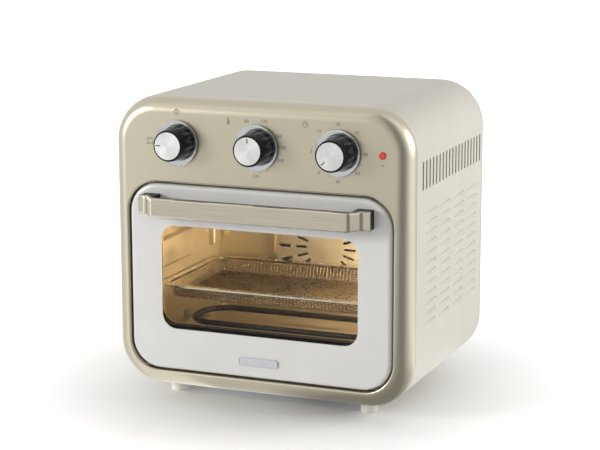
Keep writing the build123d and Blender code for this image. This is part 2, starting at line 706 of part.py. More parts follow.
def fan_pan():
    """Round pan behind the back wall that the fan turns in."""
    front = CAVITY_BACK + CAVITY_SHEET
    pan = disc(PAN_R + PAN_FLANGE, front, front + CAVITY_SHEET, 0, FAN_Z)
    pan += disc(PAN_R, front, front + PAN_DEPTH, 0, FAN_Z)
    pan -= disc(PAN_R - CAVITY_SHEET, front - CUT, front + PAN_DEPTH - CAVITY_SHEET, 0, FAN_Z)
    pan -= disc(PAN_HOLE_R, front, front + PAN_DEPTH + CUT, 0, FAN_Z)
    return pan - [disc(SCREW_R + SCREW_FIT, front - CUT, front + 2 * CUT, x, z) for x, z in cover_screw_places()]


def fan_motor():
    """Shaded-pole motor: laminated core, coil and two bearing bosses."""
    seat = CAVITY_BACK + CAVITY_SHEET + PAN_DEPTH
    core_y = seat + CAVITY_SHEET * 4
    core = block(-MOTOR_W / 2, MOTOR_W / 2, core_y, core_y + MOTOR_T, FAN_Z - MOTOR_H / 2, FAN_Z + MOTOR_H / 2)
    coil = block(-COIL_HALF, COIL_HALF, core_y - CUT, core_y + MOTOR_T + CUT,
                 FAN_Z - MOTOR_H / 2 - COIL_H, FAN_Z - MOTOR_H / 2)
    boss = disc(MOTOR_BOSS_R, seat, core_y + MOTOR_T + 4 * CUT, 0, FAN_Z)
    return core + coil + boss - disc(FAN_SHAFT_R + SHAFT_FIT, seat - CUT, FAN_SHAFT_Y1 + CUT, 0, FAN_Z)


def fan_blade():
    """Pressed back plate and hub with swept vanes on its front."""
    blade = disc(FAN_R, FAN_BACK, FAN_BACK + VANE_T, 0, FAN_Z)
    blade += disc(HUB_R, FAN_BACK - VANE_H, FAN_BACK + 2 * VANE_T, 0, FAN_Z)
    vane = block(VANE_INNER, FAN_R - VANE_T, FAN_BACK - VANE_H, FAN_BACK + VANE_T / 2, -VANE_T / 2, VANE_T / 2)
    swept = Pos(VANE_INNER, 0, 0) * Rot(0, VANE_SWEEP, 0) * Pos(-VANE_INNER, 0, 0) * vane
    swept = swept & disc(FAN_R, FAN_BACK - VANE_H - CUT, FAN_BACK + VANE_T)
    for i in range(FAN_VANES):
        blade += Pos(0, 0, FAN_Z) * Rot(0, 360 / FAN_VANES * i, 0) * swept
    return blade - disc(FAN_SHAFT_R, FAN_BACK - VANE_H - CUT, FAN_BACK + 3 * VANE_T, 0, FAN_Z)


def fan_shaft():
    return disc(FAN_SHAFT_R, FAN_SHAFT_Y0, FAN_SHAFT_Y1, 0, FAN_Z)


# Oven lamp

def oven_lamp_lens():
    """Domed glass over the lamp, its rim against the cavity wall."""
    rim = side_rod(OVEN_LENS_R, WALL_X - OVEN_LENS_RIM, WALL_X, OVEN_LAMP_Y, OVEN_LAMP_Z)
    dome = side_rod(OVEN_LENS_R - OVEN_LENS_RISE, WALL_X - OVEN_LENS_RISE, WALL_X, OVEN_LAMP_Y, OVEN_LAMP_Z)
    return rim + fillet(edges_at(dome, Axis.X, WALL_X - OVEN_LENS_RISE), OVEN_LENS_RISE / 2)


def oven_lamp_holder():
    """Cup behind the wall with the lamp's socket and bulb."""
    base = WALL_X + CAVITY_SHEET
    cup = side_rod(OVEN_LENS_R - OVEN_HOLDER_WALL, base, base + OVEN_HOLDER_D, OVEN_LAMP_Y, OVEN_LAMP_Z)
    hollow = side_rod(OVEN_LENS_R - 2 * OVEN_HOLDER_WALL, base - CUT, base + OVEN_HOLDER_D - OVEN_HOLDER_WALL,
                      OVEN_LAMP_Y, OVEN_LAMP_Z)
    bulb = side_rod(BULB_R, base + CUT, base + OVEN_HOLDER_D - OVEN_HOLDER_WALL / 2, OVEN_LAMP_Y, OVEN_LAMP_Z)
    return cup - hollow + bulb


# Controls

def control_plate():
    plate = block(-CONTROL_W / 2, CONTROL_W / 2, CONTROL_Y, SWITCH_Y, KNOB_Z - CONTROL_H / 2, KNOB_Z + CONTROL_H / 2)
    return plate - [disc(SHAFT_HOLE, CONTROL_Y - CUT, SWITCH_Y + CUT, x, KNOB_Z) for x in PANEL_X]


def shaft_bore(x):
    return disc(SHAFT_R + SHAFT_FIT, SWITCH_Y - CUT, SHAFT_REAR + CUT, x, KNOB_Z)


def function_switch():
    half = SWITCH_SIZE / 2
    x = PANEL_X[0]
    body = block(x - half, x + half, SWITCH_Y, SWITCH_Y + SWITCH_DEPTH, KNOB_Z - half, KNOB_Z + half)
    return fillet(body.edges().filter_by(Axis.Y), SWITCH_CORNER_R) - shaft_bore(x)


def thermostat():
    x = PANEL_X[1]
    body = disc(THERMOSTAT_R, SWITCH_Y, SWITCH_Y + THERMOSTAT_DEPTH / 2, x, KNOB_Z)
    body += disc(THERMOSTAT_CAP_R, SWITCH_Y, SWITCH_Y + THERMOSTAT_DEPTH, x, KNOB_Z)
    return body - shaft_bore(x)


def timer():
    x = PANEL_X[2]
    body = disc(TIMER_R, SWITCH_Y, SWITCH_Y + TIMER_DEPTH / 2, x, KNOB_Z)
    body += disc(TIMER_CAP_R, SWITCH_Y, SWITCH_Y + TIMER_DEPTH, x, KNOB_Z)
    return body - shaft_bore(x)


def pilot_lamp():
    """Red domed lens with its body through the panel."""
    dome = disc(LAMP_HEAD_R, -LAMP_DOME, 0, LAMP_X, KNOB_Z)
    dome = fillet(edges_at(dome, Axis.Y, -LAMP_DOME), LAMP_DOME - NEAR)
    return dome + disc(LAMP_R, -CUT / 2, LAMP_DEPTH, LAMP_X, KNOB_Z)


def terminal_block():
    width, depth, height = TERMINAL_SIZE
    rear = BODY_D - BACK_T
    return block(GLAND_X - width / 2, GLAND_X + width / 2, rear - depth, rear, TERMINAL_Z - height / 2,
                 TERMINAL_Z + height / 2)


def cord_gland():
    """Strain-relief bush in the back panel; the cord itself is left out."""
    inside = BODY_D - BACK_T
    bush = disc(GLAND_R - LAMP_FIT, inside - BACK_T, BODY_D + CUT, GLAND_X, GLAND_Z)
    bush += disc(GLAND_FLANGE_R, BODY_D, BODY_D + GLAND_FLANGE_T, GLAND_X, GLAND_Z)
    bush += disc(GLAND_R - CUT, BODY_D, BODY_D + GLAND_NOSE, GLAND_X, GLAND_Z)
    bush += disc(GLAND_FLANGE_R, inside - 2 * BACK_T, inside, GLAND_X, GLAND_Z)
    return bush - disc(GLAND_BORE, inside - 4 * BACK_T, BODY_D + GLAND_NOSE + CUT, GLAND_X, GLAND_Z)


def wiring_loom():
    """Main bundle from the terminal block up the back and forward to the controls."""
    start = TERMINAL_Z + TERMINAL_SIZE[2] / 2
    behind = SWITCH_Y + TIMER_DEPTH + LOOM_BEND
    points = [(GLAND_X, LOOM_Y + LOOM_R, start), (GLAND_X, LOOM_Y + LOOM_R, LOOM_TOP),
              (GLAND_X, behind, LOOM_TOP), (-KNOB_PITCH, behind, LOOM_TOP),
              (-KNOB_PITCH, behind, KNOB_Z), (-KNOB_PITCH, SWITCH_Y + SWITCH_DEPTH, KNOB_Z)]
    path = FilletPolyline(*points, radius=LOOM_BEND - LOOM_R / 2)
    ring = Plane(path @ 0, z_dir=path % 0) * Circle(LOOM_R)
    return sweep(ring, path=path)


# Door

def door_panel():
    """Cream door skin: a shallow box with the window cut in its face."""
    panel = slab(door_outline(), 0, DOOR_DEPTH)
    panel = fillet(edges_at(panel, Axis.Y, 0), DOOR_EDGE_R)
    hollow = slab(door_outline(-DOOR_WALL), DOOR_WALL, DOOR_DEPTH + CUT)
    panel -= fillet(edges_at(hollow, Axis.Y, DOOR_WALL), DOOR_EDGE_R - DOOR_WALL)
    panel -= slab(window_outline(), -CUT, DOOR_WALL + CUT)
    handle_boss = disc(BOSS_R + CUT, DOOR_WALL / 2, LINER_Y, POST_X, HANDLE_Z)
    pin_boss = block(PIN_INNER_X, PIN_INNER_X + PIN_BLOCK, DOOR_WALL, LINER_Y,
                     DOOR_Z + DOOR_WALL / 2, HINGE_Z + PIN_BLOCK_RISE)
    for piece in both_sides(handle_boss) + both_sides(pin_boss):
        panel += piece
    panel -= both_sides(disc(SCREW_R + SCREW_FIT, -CUT, DOOR_DEPTH, POST_X, HANDLE_Z))
    return panel - both_sides(hinge_rod(PIN_R, PIN_INNER_X, PIN_OUTER_X))


def hinge_pin():
    return hinge_rod(PIN_R, PIN_INNER_X, PIN_OUTER_X)


def door_glass():
    return slab(window_outline(GLASS_MARGIN), DOOR_WALL, DOOR_WALL + GLASS_T)


def glazing_opening(grow=0.0):
    z0 = WINDOW_Z + GLAZING_RISE - grow
    z1 = WINDOW_Z + WINDOW_H + GLAZING_SIDE + grow
    return outline_between(WINDOW_W / 2 + GLAZING_SIDE + grow, z0, z1, WINDOW_R)


def glass_frame():
    """Black frame that holds the glass against the back of the door skin."""
    outer = window_outline(GLASS_MARGIN + GLAZING_RIM)
    frame = slab(outer - glazing_opening(), DOOR_WALL + GLASS_T, LINER_Y)
    collar = slab(outer - window_outline(GLASS_MARGIN + LINER_GAP), DOOR_WALL, DOOR_WALL + GLASS_T)
    return frame + collar


def door_liner():
    """Steel inner panel with a raised field and the inner window opening."""
    edge = DOOR_WALL + LINER_GAP
    field = outline_between(LINER_FIELD_W / 2, LINER_FIELD_Z0, LINER_FIELD_Z1, LINER_FIELD_R)
    liner = slab(door_outline(-edge), LINER_Y, LINER_Y + LINER_T)
    liner += slab(field, LINER_Y, LINER_Y + LINER_T + LINER_RAISE)
    liner -= slab(offset(field, -LINER_T), LINER_Y - CUT, LINER_Y + LINER_RAISE)
    collar = slab(glazing_opening(LINER_T) - glazing_opening(), LINER_Y, LINER_Y + LINER_T + LINER_RAISE)
    liner = liner + collar - slab(glazing_opening(), LINER_Y - CUT, DOOR_DEPTH + LINER_RAISE + CUT)
    return liner - both_sides(disc(SCREW_R + SCREW_FIT, LINER_Y - CUT, DOOR_DEPTH + CUT, POST_X, HANDLE_Z))


def door_seal():
    """Soft ring that meets the cavity flange when the door is shut."""
    half = DOOR_W / 2 - SEAL_INSET
    outer = outline_between(half, DOOR_Z + SEAL_FACE, DOOR_Z + DOOR_H - SEAL_FACE, SEAL_R)
    ring = slab(outer - offset(outer, -SEAL_W), LINER_Y + LINER_T, FRAME_DEPTH - SEAL_GAP)
    return fillet(edges_at(ring, Axis.Y, FRAME_DEPTH - SEAL_GAP), SEAL_EDGE_R)


def handle_line(back_off, half):
    """Plan of the handle, set back squarely: raised middle, S-bends, flat end pads."""
    front = FRONT_Y + back_off
    pad = front + HANDLE_STEP
    shift = back_off * tan(atan2(HANDLE_STEP, STEP_END - STEP_START) / 2)
    x0 = STEP_START - shift
    x1 = STEP_END - shift
    points = [(-half, pad), (-x1, pad), (-x0, front), (x0, front), (x1, pad), (half, pad)]
    return FilletPolyline(*points, radius=STRIP_BEND)


def handle_band(start, stop, half, height, edge_r):
    """Band between two depths behind the handle's front, its long front edges rounded."""
    front = handle_line(start, half)
    back = handle_line(stop, half)
    ends = [Line(front @ 0, back @ 0), Line(front @ 1, back @ 1)]
    face = make_face(front.edges() + back.edges() + ends)
    band = extrude(Pos(0, 0, HANDLE_Z - height / 2) * face, amount=height)
    middle_edges = [edge for edge in edges_at(band, Axis.Y, FRONT_Y + start) if edge.length > STEP_START]
    return fillet(middle_edges, edge_r)


def grip_nose():
    """Front of the grip, which fills the strip."""
    return handle_band(STRIP_T, STRIP_LAP + CUT, HANDLE_HALF - CUT, HANDLE_H - 2 * STRIP_T, STRIP_EDGE_R - STRIP_T)


def handle_strip():
    """Brushed steel strip lapped over the front, top and bottom of the grip."""
    return handle_band(0, STRIP_LAP, HANDLE_HALF, HANDLE_H, STRIP_EDGE_R) - grip_nose()


def handle_grip():
    """Black moulding behind the strip: a bar and the two posts that stand on the door."""
    front = handle_line(STRIP_LAP, HANDLE_HALF - CUT)
    left = front @ 0
    right = front @ 1
    rest = Polyline((left.X, left.Y), (left.X, 0), (right.X, 0), (right.X, right.Y))
    section = make_face(front.edges() + rest.edges())
    gap_half = POST_X - POST_W / 2
    gap_front = FRONT_Y + GRIP_T
    gap = Pos(0, gap_front / 2 + POST_ROUND) * RectangleRounded(2 * gap_half, 2 * POST_ROUND - gap_front, POST_ROUND)
    section -= gap
    height = HANDLE_H - 2 * GRIP_EDGE
    grip = extrude(Pos(0, 0, HANDLE_Z - height / 2) * section, amount=height) + grip_nose()
    return grip - both_sides(disc(SCREW_R, -DOOR_SCREW_L + DOOR_DEPTH - CUT, CUT, POST_X, HANDLE_Z))


def door_screws():
    """Two long screws from inside the door into the handle posts."""
    inside = LINER_Y + LINER_T
    shank = Pos(POST_X, inside, HANDLE_Z) * Rot(0, 0, 180) * screw(DOOR_SCREW_L)
    return Compound(children=both_sides(shank))


def door_badge():
    """Bare raised plate with a rim."""
    outer = Pos(0, BADGE_Z) * RectangleRounded(BADGE_W, BADGE_H, BADGE_R)
    plate = slab(outer, -BADGE_T, 0)
    return plate - slab(offset(outer, -BADGE_RIM), -BADGE_T - CUT, -BADGE_T + BADGE_SINK)


# Knobs

def knob_skirt(x):
    """Metal skirt: a stepped outer rim round a polished ring that is dished a little under the body."""
    back = -KNOB_GAP
    rim = -SKIRT_H
    floor = rim + DISH_DEPTH
    lip_r = SKIRT_R - SKIRT_LIP
    edge = Polyline((SHAFT_HOLE, floor), (SHAFT_HOLE, back), (SKIRT_R - SKIRT_CHAMFER, back),
                    (SKIRT_R, back - SKIRT_CHAMFER), (SKIRT_R, rim + SKIRT_ROUND), (SKIRT_R - SKIRT_ROUND, rim),
                    (lip_r, rim), (lip_r, rim + SKIRT_STEP))
    low_point = (KNOB_BASE_R + SKIRT_LIP, floor - SKIRT_ROUND / 2)
    dish = ThreePointArc((lip_r, rim + SKIRT_STEP), low_point, (KNOB_BASE_R, floor))
    section = make_face(edge.edges() + [dish, Line((KNOB_BASE_R, floor), (SHAFT_HOLE, floor))])
    return Pos(x, 0, KNOB_Z) * revolve(section, Axis.Y)


def knob_body(x):
    """Tapered body with shallow flutes that fade towards the face."""
    back = DISH_DEPTH - SKIRT_H
    height = KNOB_FRONT + back
    body = Pos(0, back - height / 2, 0) * Rot(90, 0, 0) * Cone(KNOB_BASE_R, KNOB_TOP_R, height)
    body = fillet(edges_at(body, Axis.Y, -KNOB_FRONT), KNOB_EDGE_R)
    groove = disc(FLUTE_R, -KNOB_FRONT - CUT, back + CUT, KNOB_BASE_R - FLUTE_DEPTH + FLUTE_R, 0)
    body -= [Rot(0, 360 / KNOB_FLUTES * (i + 0.5), 0) * groove for i in range(KNOB_FLUTES)]
    body -= disc(FACE_R + SHAFT_FIT, -KNOB_FRONT - CUT, FACE_SINK - KNOB_FRONT)
    body -= disc(SHAFT_R + SHAFT_FIT, -SHAFT_FRONT, back + CUT)
    return Pos(x, 0, KNOB_Z) * body


def knob_face(x, angle):
    """Metal face with the pointer cut in it; the angle is counter-clockwise from the top."""
    front = FACE_SINK - KNOB_FRONT - FACE_T
    face = disc(FACE_R, front, FACE_SINK - KNOB_FRONT)
    pointer = Pos(0, FACE_R - POINTER_L / 2 - CUT) * RectangleRounded(POINTER_W, POINTER_L, POINTER_END_R)
    face -= Rot(0, -angle, 0) * slab(pointer, front - CUT, front + POINTER_DEPTH)
    return Pos(x, 0, KNOB_Z) * face


def knob_shaft(x):
    return disc(SHAFT_R, -SHAFT_FRONT, SHAFT_REAR, x, KNOB_Z)


# Basket

def basket_outline(grow):
    plan = Pos(0, (BASKET_Y0 + BASKET_Y1) / 2)
    return plan * RectangleRounded(2 * (BASKET_HALF + grow), BASKET_Y1 - BASKET_Y0 + 2 * grow, BASKET_R + grow)


def basket_rim():
    """Flat bright rim that rides on the lower runner bars."""
    base = BARS[0][1] + BASKET_SEAT
    ring = basket_outline(0) - basket_outline(-RIM_W)
    return extrude(Pos(0, 0, base) * ring, amount=RIM_T)


def basket_mesh():
    """Tapered mesh tray hung inside the rim, drawn as a thin skin."""
    top = BARS[0][1] + BASKET_SEAT
    bottom = top - MESH_DEPTH
    skin = mesh_solid(top, bottom, -RIM_W)
    return skin - mesh_solid(top + MESH_T, bottom + MESH_T, -RIM_W - MESH_T)


def mesh_solid(top, bottom, grow):
    lower = Pos(0, 0, bottom) * basket_outline(grow - MESH_TAPER)
    upper = Pos(0, 0, top) * basket_outline(grow)
    return loft([lower, upper])


PARTS = {
    "front_frame": front_frame(),
    "housing_wrap": housing_wrap(),
    "back_panel": back_panel(),
    "bottom_plate": bottom_plate(),
    "foot_front_left": foot(-FOOT_X, FOOT_Y[0]),
    "foot_front_right": foot(FOOT_X, FOOT_Y[0]),
    "foot_rear_left": foot(-FOOT_X, FOOT_Y[1]),
    "foot_rear_right": foot(FOOT_X, FOOT_Y[1]),
    "oven_cavity": oven_cavity(),
    "heat_shield": heat_shield(),
    "crumb_tray": crumb_tray(),
    "fan_cover": fan_cover(),
    "fan_pan": fan_pan(),
    "fan_motor": fan_motor(),
    "fan_blade": fan_blade(),
    "fan_shaft": fan_shaft(),
    "upper_element": heating_element(UPPER_Z),
    "lower_element": heating_element(LOWER_Z),
    "element_bushes": element_bushes(),
    "element_clips": element_clips(),
    "oven_lamp_lens": oven_lamp_lens(),
    "oven_lamp_holder": oven_lamp_holder(),
    "control_plate": control_plate(),
    "function_switch": function_switch(),
    "thermostat": thermostat(),
    "timer": timer(),
    "pilot_lamp": pilot_lamp(),
    "terminal_block": terminal_block(),
    "cord_gland": cord_gland(),
    "wiring_loom": wiring_loom(),
    "hinge_bracket_left": mirror(hinge_bracket(), about=Plane.YZ),
    "hinge_bracket_right": hinge_bracket(),
    "back_screws": back_screws(),
    "foot_screws": foot_screws(),
    "fan_cover_screws": fan_cover_screws(),
    "door_panel": door_panel(),
    "door_glass": door_glass(),
    "glass_frame": glass_frame(),
    "door_liner": door_liner(),
    "door_seal": door_seal(),
    "handle_grip": handle_grip(),
    "handle_strip": handle_strip(),
    "door_screws": door_screws(),
    "door_badge": door_badge(),
    "hinge_pin_left": mirror(hinge_pin(), about=Plane.YZ),
    "hinge_pin_right": hinge_pin(),
    "basket_rim": basket_rim(),
    "basket_mesh": basket_mesh(),
}
for name, x, angle in zip(("function", "temperature", "timer"), PANEL_X, POINTER_ANGLES):
    PARTS[name + "_knob_skirt"] = knob_skirt(x)
    PARTS[name + "_knob_body"] = knob_body(x)
    PARTS[name + "_knob_face"] = knob_face(x, angle)
    PARTS[name + "_knob_shaft"] = knob_shaft(x)

os.makedirs("parts", exist_ok=True)
for node, shape in PARTS.items():
    export_step(TO_TABLE * shape, "parts/" + node + ".step")
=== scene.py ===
# %% [markdown]
# # A countertop convection oven, dressed for its picture
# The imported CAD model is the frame: every sheet, glass and knob already stands in its place.
# Here each surface gets the finish that its maker gave it, a few pieces get finer meshes than
# a CAD solid carries, and a studio is set up round the oven. Everything is in metres.

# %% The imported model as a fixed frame
import json
from math import cos, pi, radians, sin, sqrt, tau

import bmesh
import bpy
from mathutils import Matrix, Vector


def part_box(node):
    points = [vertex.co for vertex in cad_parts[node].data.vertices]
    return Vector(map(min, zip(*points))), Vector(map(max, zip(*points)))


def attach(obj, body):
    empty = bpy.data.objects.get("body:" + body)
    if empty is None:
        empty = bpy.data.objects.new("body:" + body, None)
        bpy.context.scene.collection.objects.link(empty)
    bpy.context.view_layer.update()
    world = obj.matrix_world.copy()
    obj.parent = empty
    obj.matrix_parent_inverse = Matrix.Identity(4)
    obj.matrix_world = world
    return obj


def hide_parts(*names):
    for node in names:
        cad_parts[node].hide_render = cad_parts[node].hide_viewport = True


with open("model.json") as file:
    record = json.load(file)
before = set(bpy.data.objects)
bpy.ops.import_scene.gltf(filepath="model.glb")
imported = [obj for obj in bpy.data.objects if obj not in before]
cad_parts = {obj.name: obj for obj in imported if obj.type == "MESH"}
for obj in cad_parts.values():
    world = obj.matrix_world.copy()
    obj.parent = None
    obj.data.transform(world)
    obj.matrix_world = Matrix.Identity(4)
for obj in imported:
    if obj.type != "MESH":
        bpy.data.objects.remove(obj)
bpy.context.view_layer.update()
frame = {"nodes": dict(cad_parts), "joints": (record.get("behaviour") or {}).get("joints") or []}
MM = 0.001

# %% [markdown]
# ## The camera
# A product photographer stands back and uses a long lens, so that upright edges stay nearly
# parallel. The place, the turns and the lens below come from fitting the oven's own corners. The
# place is in metres, the turns are in degrees, and the lens and its sensor are in millimetres.
#
# A Track To constraint could aim the camera at a point, but it would level out the small tilt.
# Three rotation matrices in a row keep it, and each has one plain meaning: round to the right
# side, down to the oven, a hair of tilt.

# %% Camera
CAMERA_PLACE = (0.74601, -1.82645, 0.58078)
CAMERA_ROUND = 22.1975
CAMERA_DOWN = 11.6275
CAMERA_TILT = -0.1322
SENSOR_W = 36.0
LENS_LENGTH = 111.84


def add_object(name, data):
    """An object for a mesh, a curve, a light or a camera, put into the scene."""
    piece = bpy.data.objects.new(name, data)
    bpy.context.collection.objects.link(piece)
    return piece


lens = bpy.data.cameras.new("studio_camera")
lens.sensor_width = SENSOR_W
lens.lens = LENS_LENGTH
camera = add_object("studio_camera", lens)
turn_round = Matrix.Rotation(radians(CAMERA_ROUND), 4, "Z")
turn_down = Matrix.Rotation(radians(90 - CAMERA_DOWN), 4, "X")
tilt = Matrix.Rotation(radians(CAMERA_TILT), 4, "Z")
camera.matrix_world = Matrix.Translation(CAMERA_PLACE) @ turn_round @ turn_down @ tilt
bpy.context.scene.camera = camera
print("camera at", CAMERA_PLACE, "lens", round(lens.lens, 1))

# %% [markdown]
# ## Colours and nodes
# A paint maker's card gives a colour as an sRGB hex value, and a shader counts in linear light,
# so one function turns the one into the other. Typed linear numbers would work as well, but no
# one could hold them against a card. A second function adds a shader node. Its settings are
# either properties of the node or values typed into its sockets, and its links are wires.

# %% Helpers for finishes
def linear(hex_colour):
    """An sRGB hex value as the linear colour that a shader wants, by the standard's own curve."""
    parts = [int(hex_colour[i:i + 2], 16) / 255 for i in (1, 3, 5)]
    return [c / 12.92 if c <= 0.04045 else ((c + 0.055) / 1.055) ** 2.4 for c in parts] + [1.0]


def add_node(tree, kind, settings, links):
    """One node with its settings and the sockets that feed it."""
    node = tree.nodes.new(kind)
    for name, value in settings.items():
        if isinstance(name, int) or name in node.inputs:
            node.inputs[name].default_value = value
        else:
            setattr(node, name, value)
    for name, source in links.items():
        tree.links.new(source, node.inputs[name])
    return node


def new_finish(name, sockets):
    """A material with its one main shader, and the values that are the same all over it."""
    material = bpy.data.materials.new(name)
    material.use_nodes = True
    shader = material.node_tree.nodes["Principled BSDF"]
    for socket, value in sockets.items():
        shader.inputs[socket].default_value = value
    return material, material.node_tree, shader


def dress(finish, *nodes):
    """Puts a finish on CAD nodes through their own material slots."""
    for name in nodes:
        for place in frame["nodes"][name].material_slots:
            place.material = finish
    print(finish.name, "on", len(nodes), "nodes")


print("mid grey in linear light:", round(linear("#808080")[0], 3))

# %% [markdown]
# ## Shared surfaces: mottled colour, fine bumps
# Paint, moulded plastic and sheet metal all have two small things in common. Their colour drifts
# a little from place to place, and their skin is never quite flat. An image could paint both,
# but it would need every piece unwrapped. Noise that is read by the object's own coordinates
# needs no unwrapping and is sized in real millimetres, so each finish below says how large its
# patches and bumps are, and one function for each wires them.

# %% Mottle and bumps
SMEARS_FROM, SMEARS_TO = 0.35, 0.65


def mottle(tree, shader, dark, light, size, contrast=0.5):
    """Colour that drifts between two shades, in patches of the given size.

    The contrast is how much of the noise's range lies between the shades: less gives harder patches."""
    where = add_node(tree, "ShaderNodeTexCoord", {}, {})
    patches = add_node(tree, "ShaderNodeTexNoise", {"Scale": 1 / size, "Detail": 3.0},
                       {"Vector": where.outputs["Object"]})
    half = contrast / 2
    spread = add_node(tree, "ShaderNodeMapRange", {"From Min": 0.5 - half, "From Max": 0.5 + half},
                      {"Value": patches.outputs["Fac"]})
    shades = add_node(tree, "ShaderNodeMix",
                      {"data_type": "RGBA", 6: linear(dark), 7: linear(light)},
                      {0: spread.outputs["Result"]})
    tree.links.new(shades.outputs[2], shader.inputs["Base Color"])


def bumps(tree, shader, size, height, stretch=(1, 1, 1)):
    """Fine relief of the given size and height; stretch lengthens it along an axis."""
    where = add_node(tree, "ShaderNodeTexCoord", {}, {})
    scale = [1 / (size * s) for s in stretch]
    spread = add_node(tree, "ShaderNodeMapping", {"Scale": scale}, {"Vector": where.outputs["Object"]})
    relief = add_node(tree, "ShaderNodeTexNoise", {"Scale": 1.0, "Detail": 2.0},
                      {"Vector": spread.outputs["Vector"]})
    bump = add_node(tree, "ShaderNodeBump", {"Distance": height, "Strength": 1.0},
                    {"Height": relief.outputs["Fac"]})
    tree.links.new(bump.outputs["Normal"], shader.inputs["Normal"])


def uneven_gloss(tree, shader, low, high, size):
    """Roughness that wanders between two values, as handling and polishing leave it."""
    where = add_node(tree, "ShaderNodeTexCoord", {}, {})
    smears = add_node(tree, "ShaderNodeTexNoise", {"Scale": 1 / size, "Detail": 4.0},
                      {"Vector": where.outputs["Object"]})
    spread = add_node(tree, "ShaderNodeMapRange",
                      {"From Min": SMEARS_FROM, "From Max": SMEARS_TO, "To Min": low, "To Max": high},
                      {"Value": smears.outputs["Fac"]})
    tree.links.new(spread.outputs["Result"], shader.inputs["Roughness"])


print("mottle, bumps and uneven gloss are ready")

# %% [markdown]
# ## Champagne lacquer on the front moulding
# The frame is an ABS moulding sprayed with a fine metallic lacquer and a clear coat. The eye gets
# a warm grey-beige that is a little brighter where the roll turns to the light, faint flakes and
# the soft orange peel of sprayed paint. Flakes of 0.05 mm can't show here, so they are 0.6 mm.
# Flakes under varnish could be two shaders mixed. The main shader has both in one: metallic for
# the flakes, and its coat for the varnish.

# %% Champagne lacquer
def champagne_lacquer():
    finish, tree, shader = new_finish("champagne_lacquer", {
        "Metallic": 0.85, "Roughness": 0.3, "Coat Weight": 0.3, "Coat Roughness": 0.1})
    mottle(tree, shader, "#B4AD98", "#BEB7A3", size=0.6 * MM, contrast=0.3)
    bumps(tree, shader, size=2.5 * MM, height=0.012 * MM)
    return finish


dress(champagne_lacquer(), "front_frame")

# %% [markdown]
# ## Cream powder coat on the folded steel
# The wrap and the back are thin steel, sprayed dry with a polyester powder and baked. It flows
# into an even satin skin with a fine pebble, so highlights are broad and soft. The pebble could
# be moved vertices, but at 0.02 mm it only bends the light, and a bump does that for nothing.

# %% Cream powder coat
def cream_powder_coat():
    finish, tree, shader = new_finish("cream_powder_coat", {"Roughness": 0.45, "Specular IOR Level": 0.35})
    mottle(tree, shader, "#DFDACD", "#E6E1D5", size=40 * MM, contrast=0.6)
    bumps(tree, shader, size=0.9 * MM, height=0.02 * MM)
    return finish


dress(cream_powder_coat(), "housing_wrap", "back_panel")

# %% [markdown]
# ## Door enamel
# The door skin is pressed steel under a glossier, whiter wet paint. Seen at a slant it mirrors
# the room softly, and the panel's own long waves bend those reflections a little. The powder
# coat with less roughness would come close, but the two paints stand side by side, so the door
# has its own shade and a clear coat that the powder lacks.

# %% Door enamel
def door_enamel():
    finish, tree, shader = new_finish("door_enamel", {
        "Roughness": 0.26, "Coat Weight": 0.5, "Coat Roughness": 0.08})
    mottle(tree, shader, "#E2E1DD", "#E8E7E4", size=30 * MM, contrast=0.6)
    bumps(tree, shader, size=20 * MM, height=0.02 * MM)
    return finish


dress(door_enamel(), "door_panel")

# %% [markdown]
# ## Chrome, spun aluminium and glossy black on the knobs
# Each knob is three parts. The skirt is chrome plated, a mirror that shows the bright room and
# the panel at once. The body is black ABS from a polished mould, dark with sharp glints on its
# flutes. The face is an aluminium disc turned on a lathe, whose fine rings draw a bright fan of
# light through its middle. A painted fan would turn with the knob. Anisotropy round the disc's
# own axis makes it from the lamps, so it stays where the light is.

# %% Knob finishes
def chrome_plate():
    finish, tree, shader = new_finish("chrome_plate", {"Metallic": 1.0})
    mottle(tree, shader, "#BDBEC0", "#C9CACB", size=8 * MM)
    uneven_gloss(tree, shader, low=0.05, high=0.1, size=6 * MM)
    return finish


def gloss_black_plastic():
    finish, tree, shader = new_finish("gloss_black_plastic", {"Specular IOR Level": 0.25})
    mottle(tree, shader, "#070708", "#0C0C0E", size=3 * MM)
    uneven_gloss(tree, shader, low=0.18, high=0.3, size=8 * MM)
    return finish


def spun_aluminium():
    finish, tree, shader = new_finish("spun_aluminium", {"Metallic": 1.0, "Roughness": 0.34,
                                                         "Anisotropic": 0.3})
    mottle(tree, shader, "#CACBC8", "#D5D6D3", size=5 * MM)
    around = add_node(tree, "ShaderNodeTangent", {"direction_type": "RADIAL", "axis": "Y"}, {})
    tree.links.new(around.outputs["Tangent"], shader.inputs["Tangent"])
    return finish


KNOBS = ("function_knob", "temperature_knob", "timer_knob")
dress(chrome_plate(), *[knob + "_skirt" for knob in KNOBS])
dress(gloss_black_plastic(), *[knob + "_body" for knob in KNOBS])
dress(spun_aluminium(), *[knob + "_face" for knob in KNOBS])

# %% [markdown]
# ## Brushed nickel on the handle strip
# The strip is steel, drawn past an abrasive belt along its length and plated a warm nickel.
# The belt leaves hair-fine lines along the strip, which smear highlights across it. The real
# lines are 0.1 mm wide, and they are drawn 0.8 mm wide so that they show. They could be cut into
# the mesh one by one. A noise stretched along the strip draws them all, and it feeds both the
# colour and the bump, so that each line is darker where it is deep: the grain's own change of
# tone, with painted shade in its groove.

# %% Brushed handle
BRUSHED_L = 60 * MM
BRUSHED_W = 0.8 * MM
BRUSHED_DEPTH = 0.01 * MM


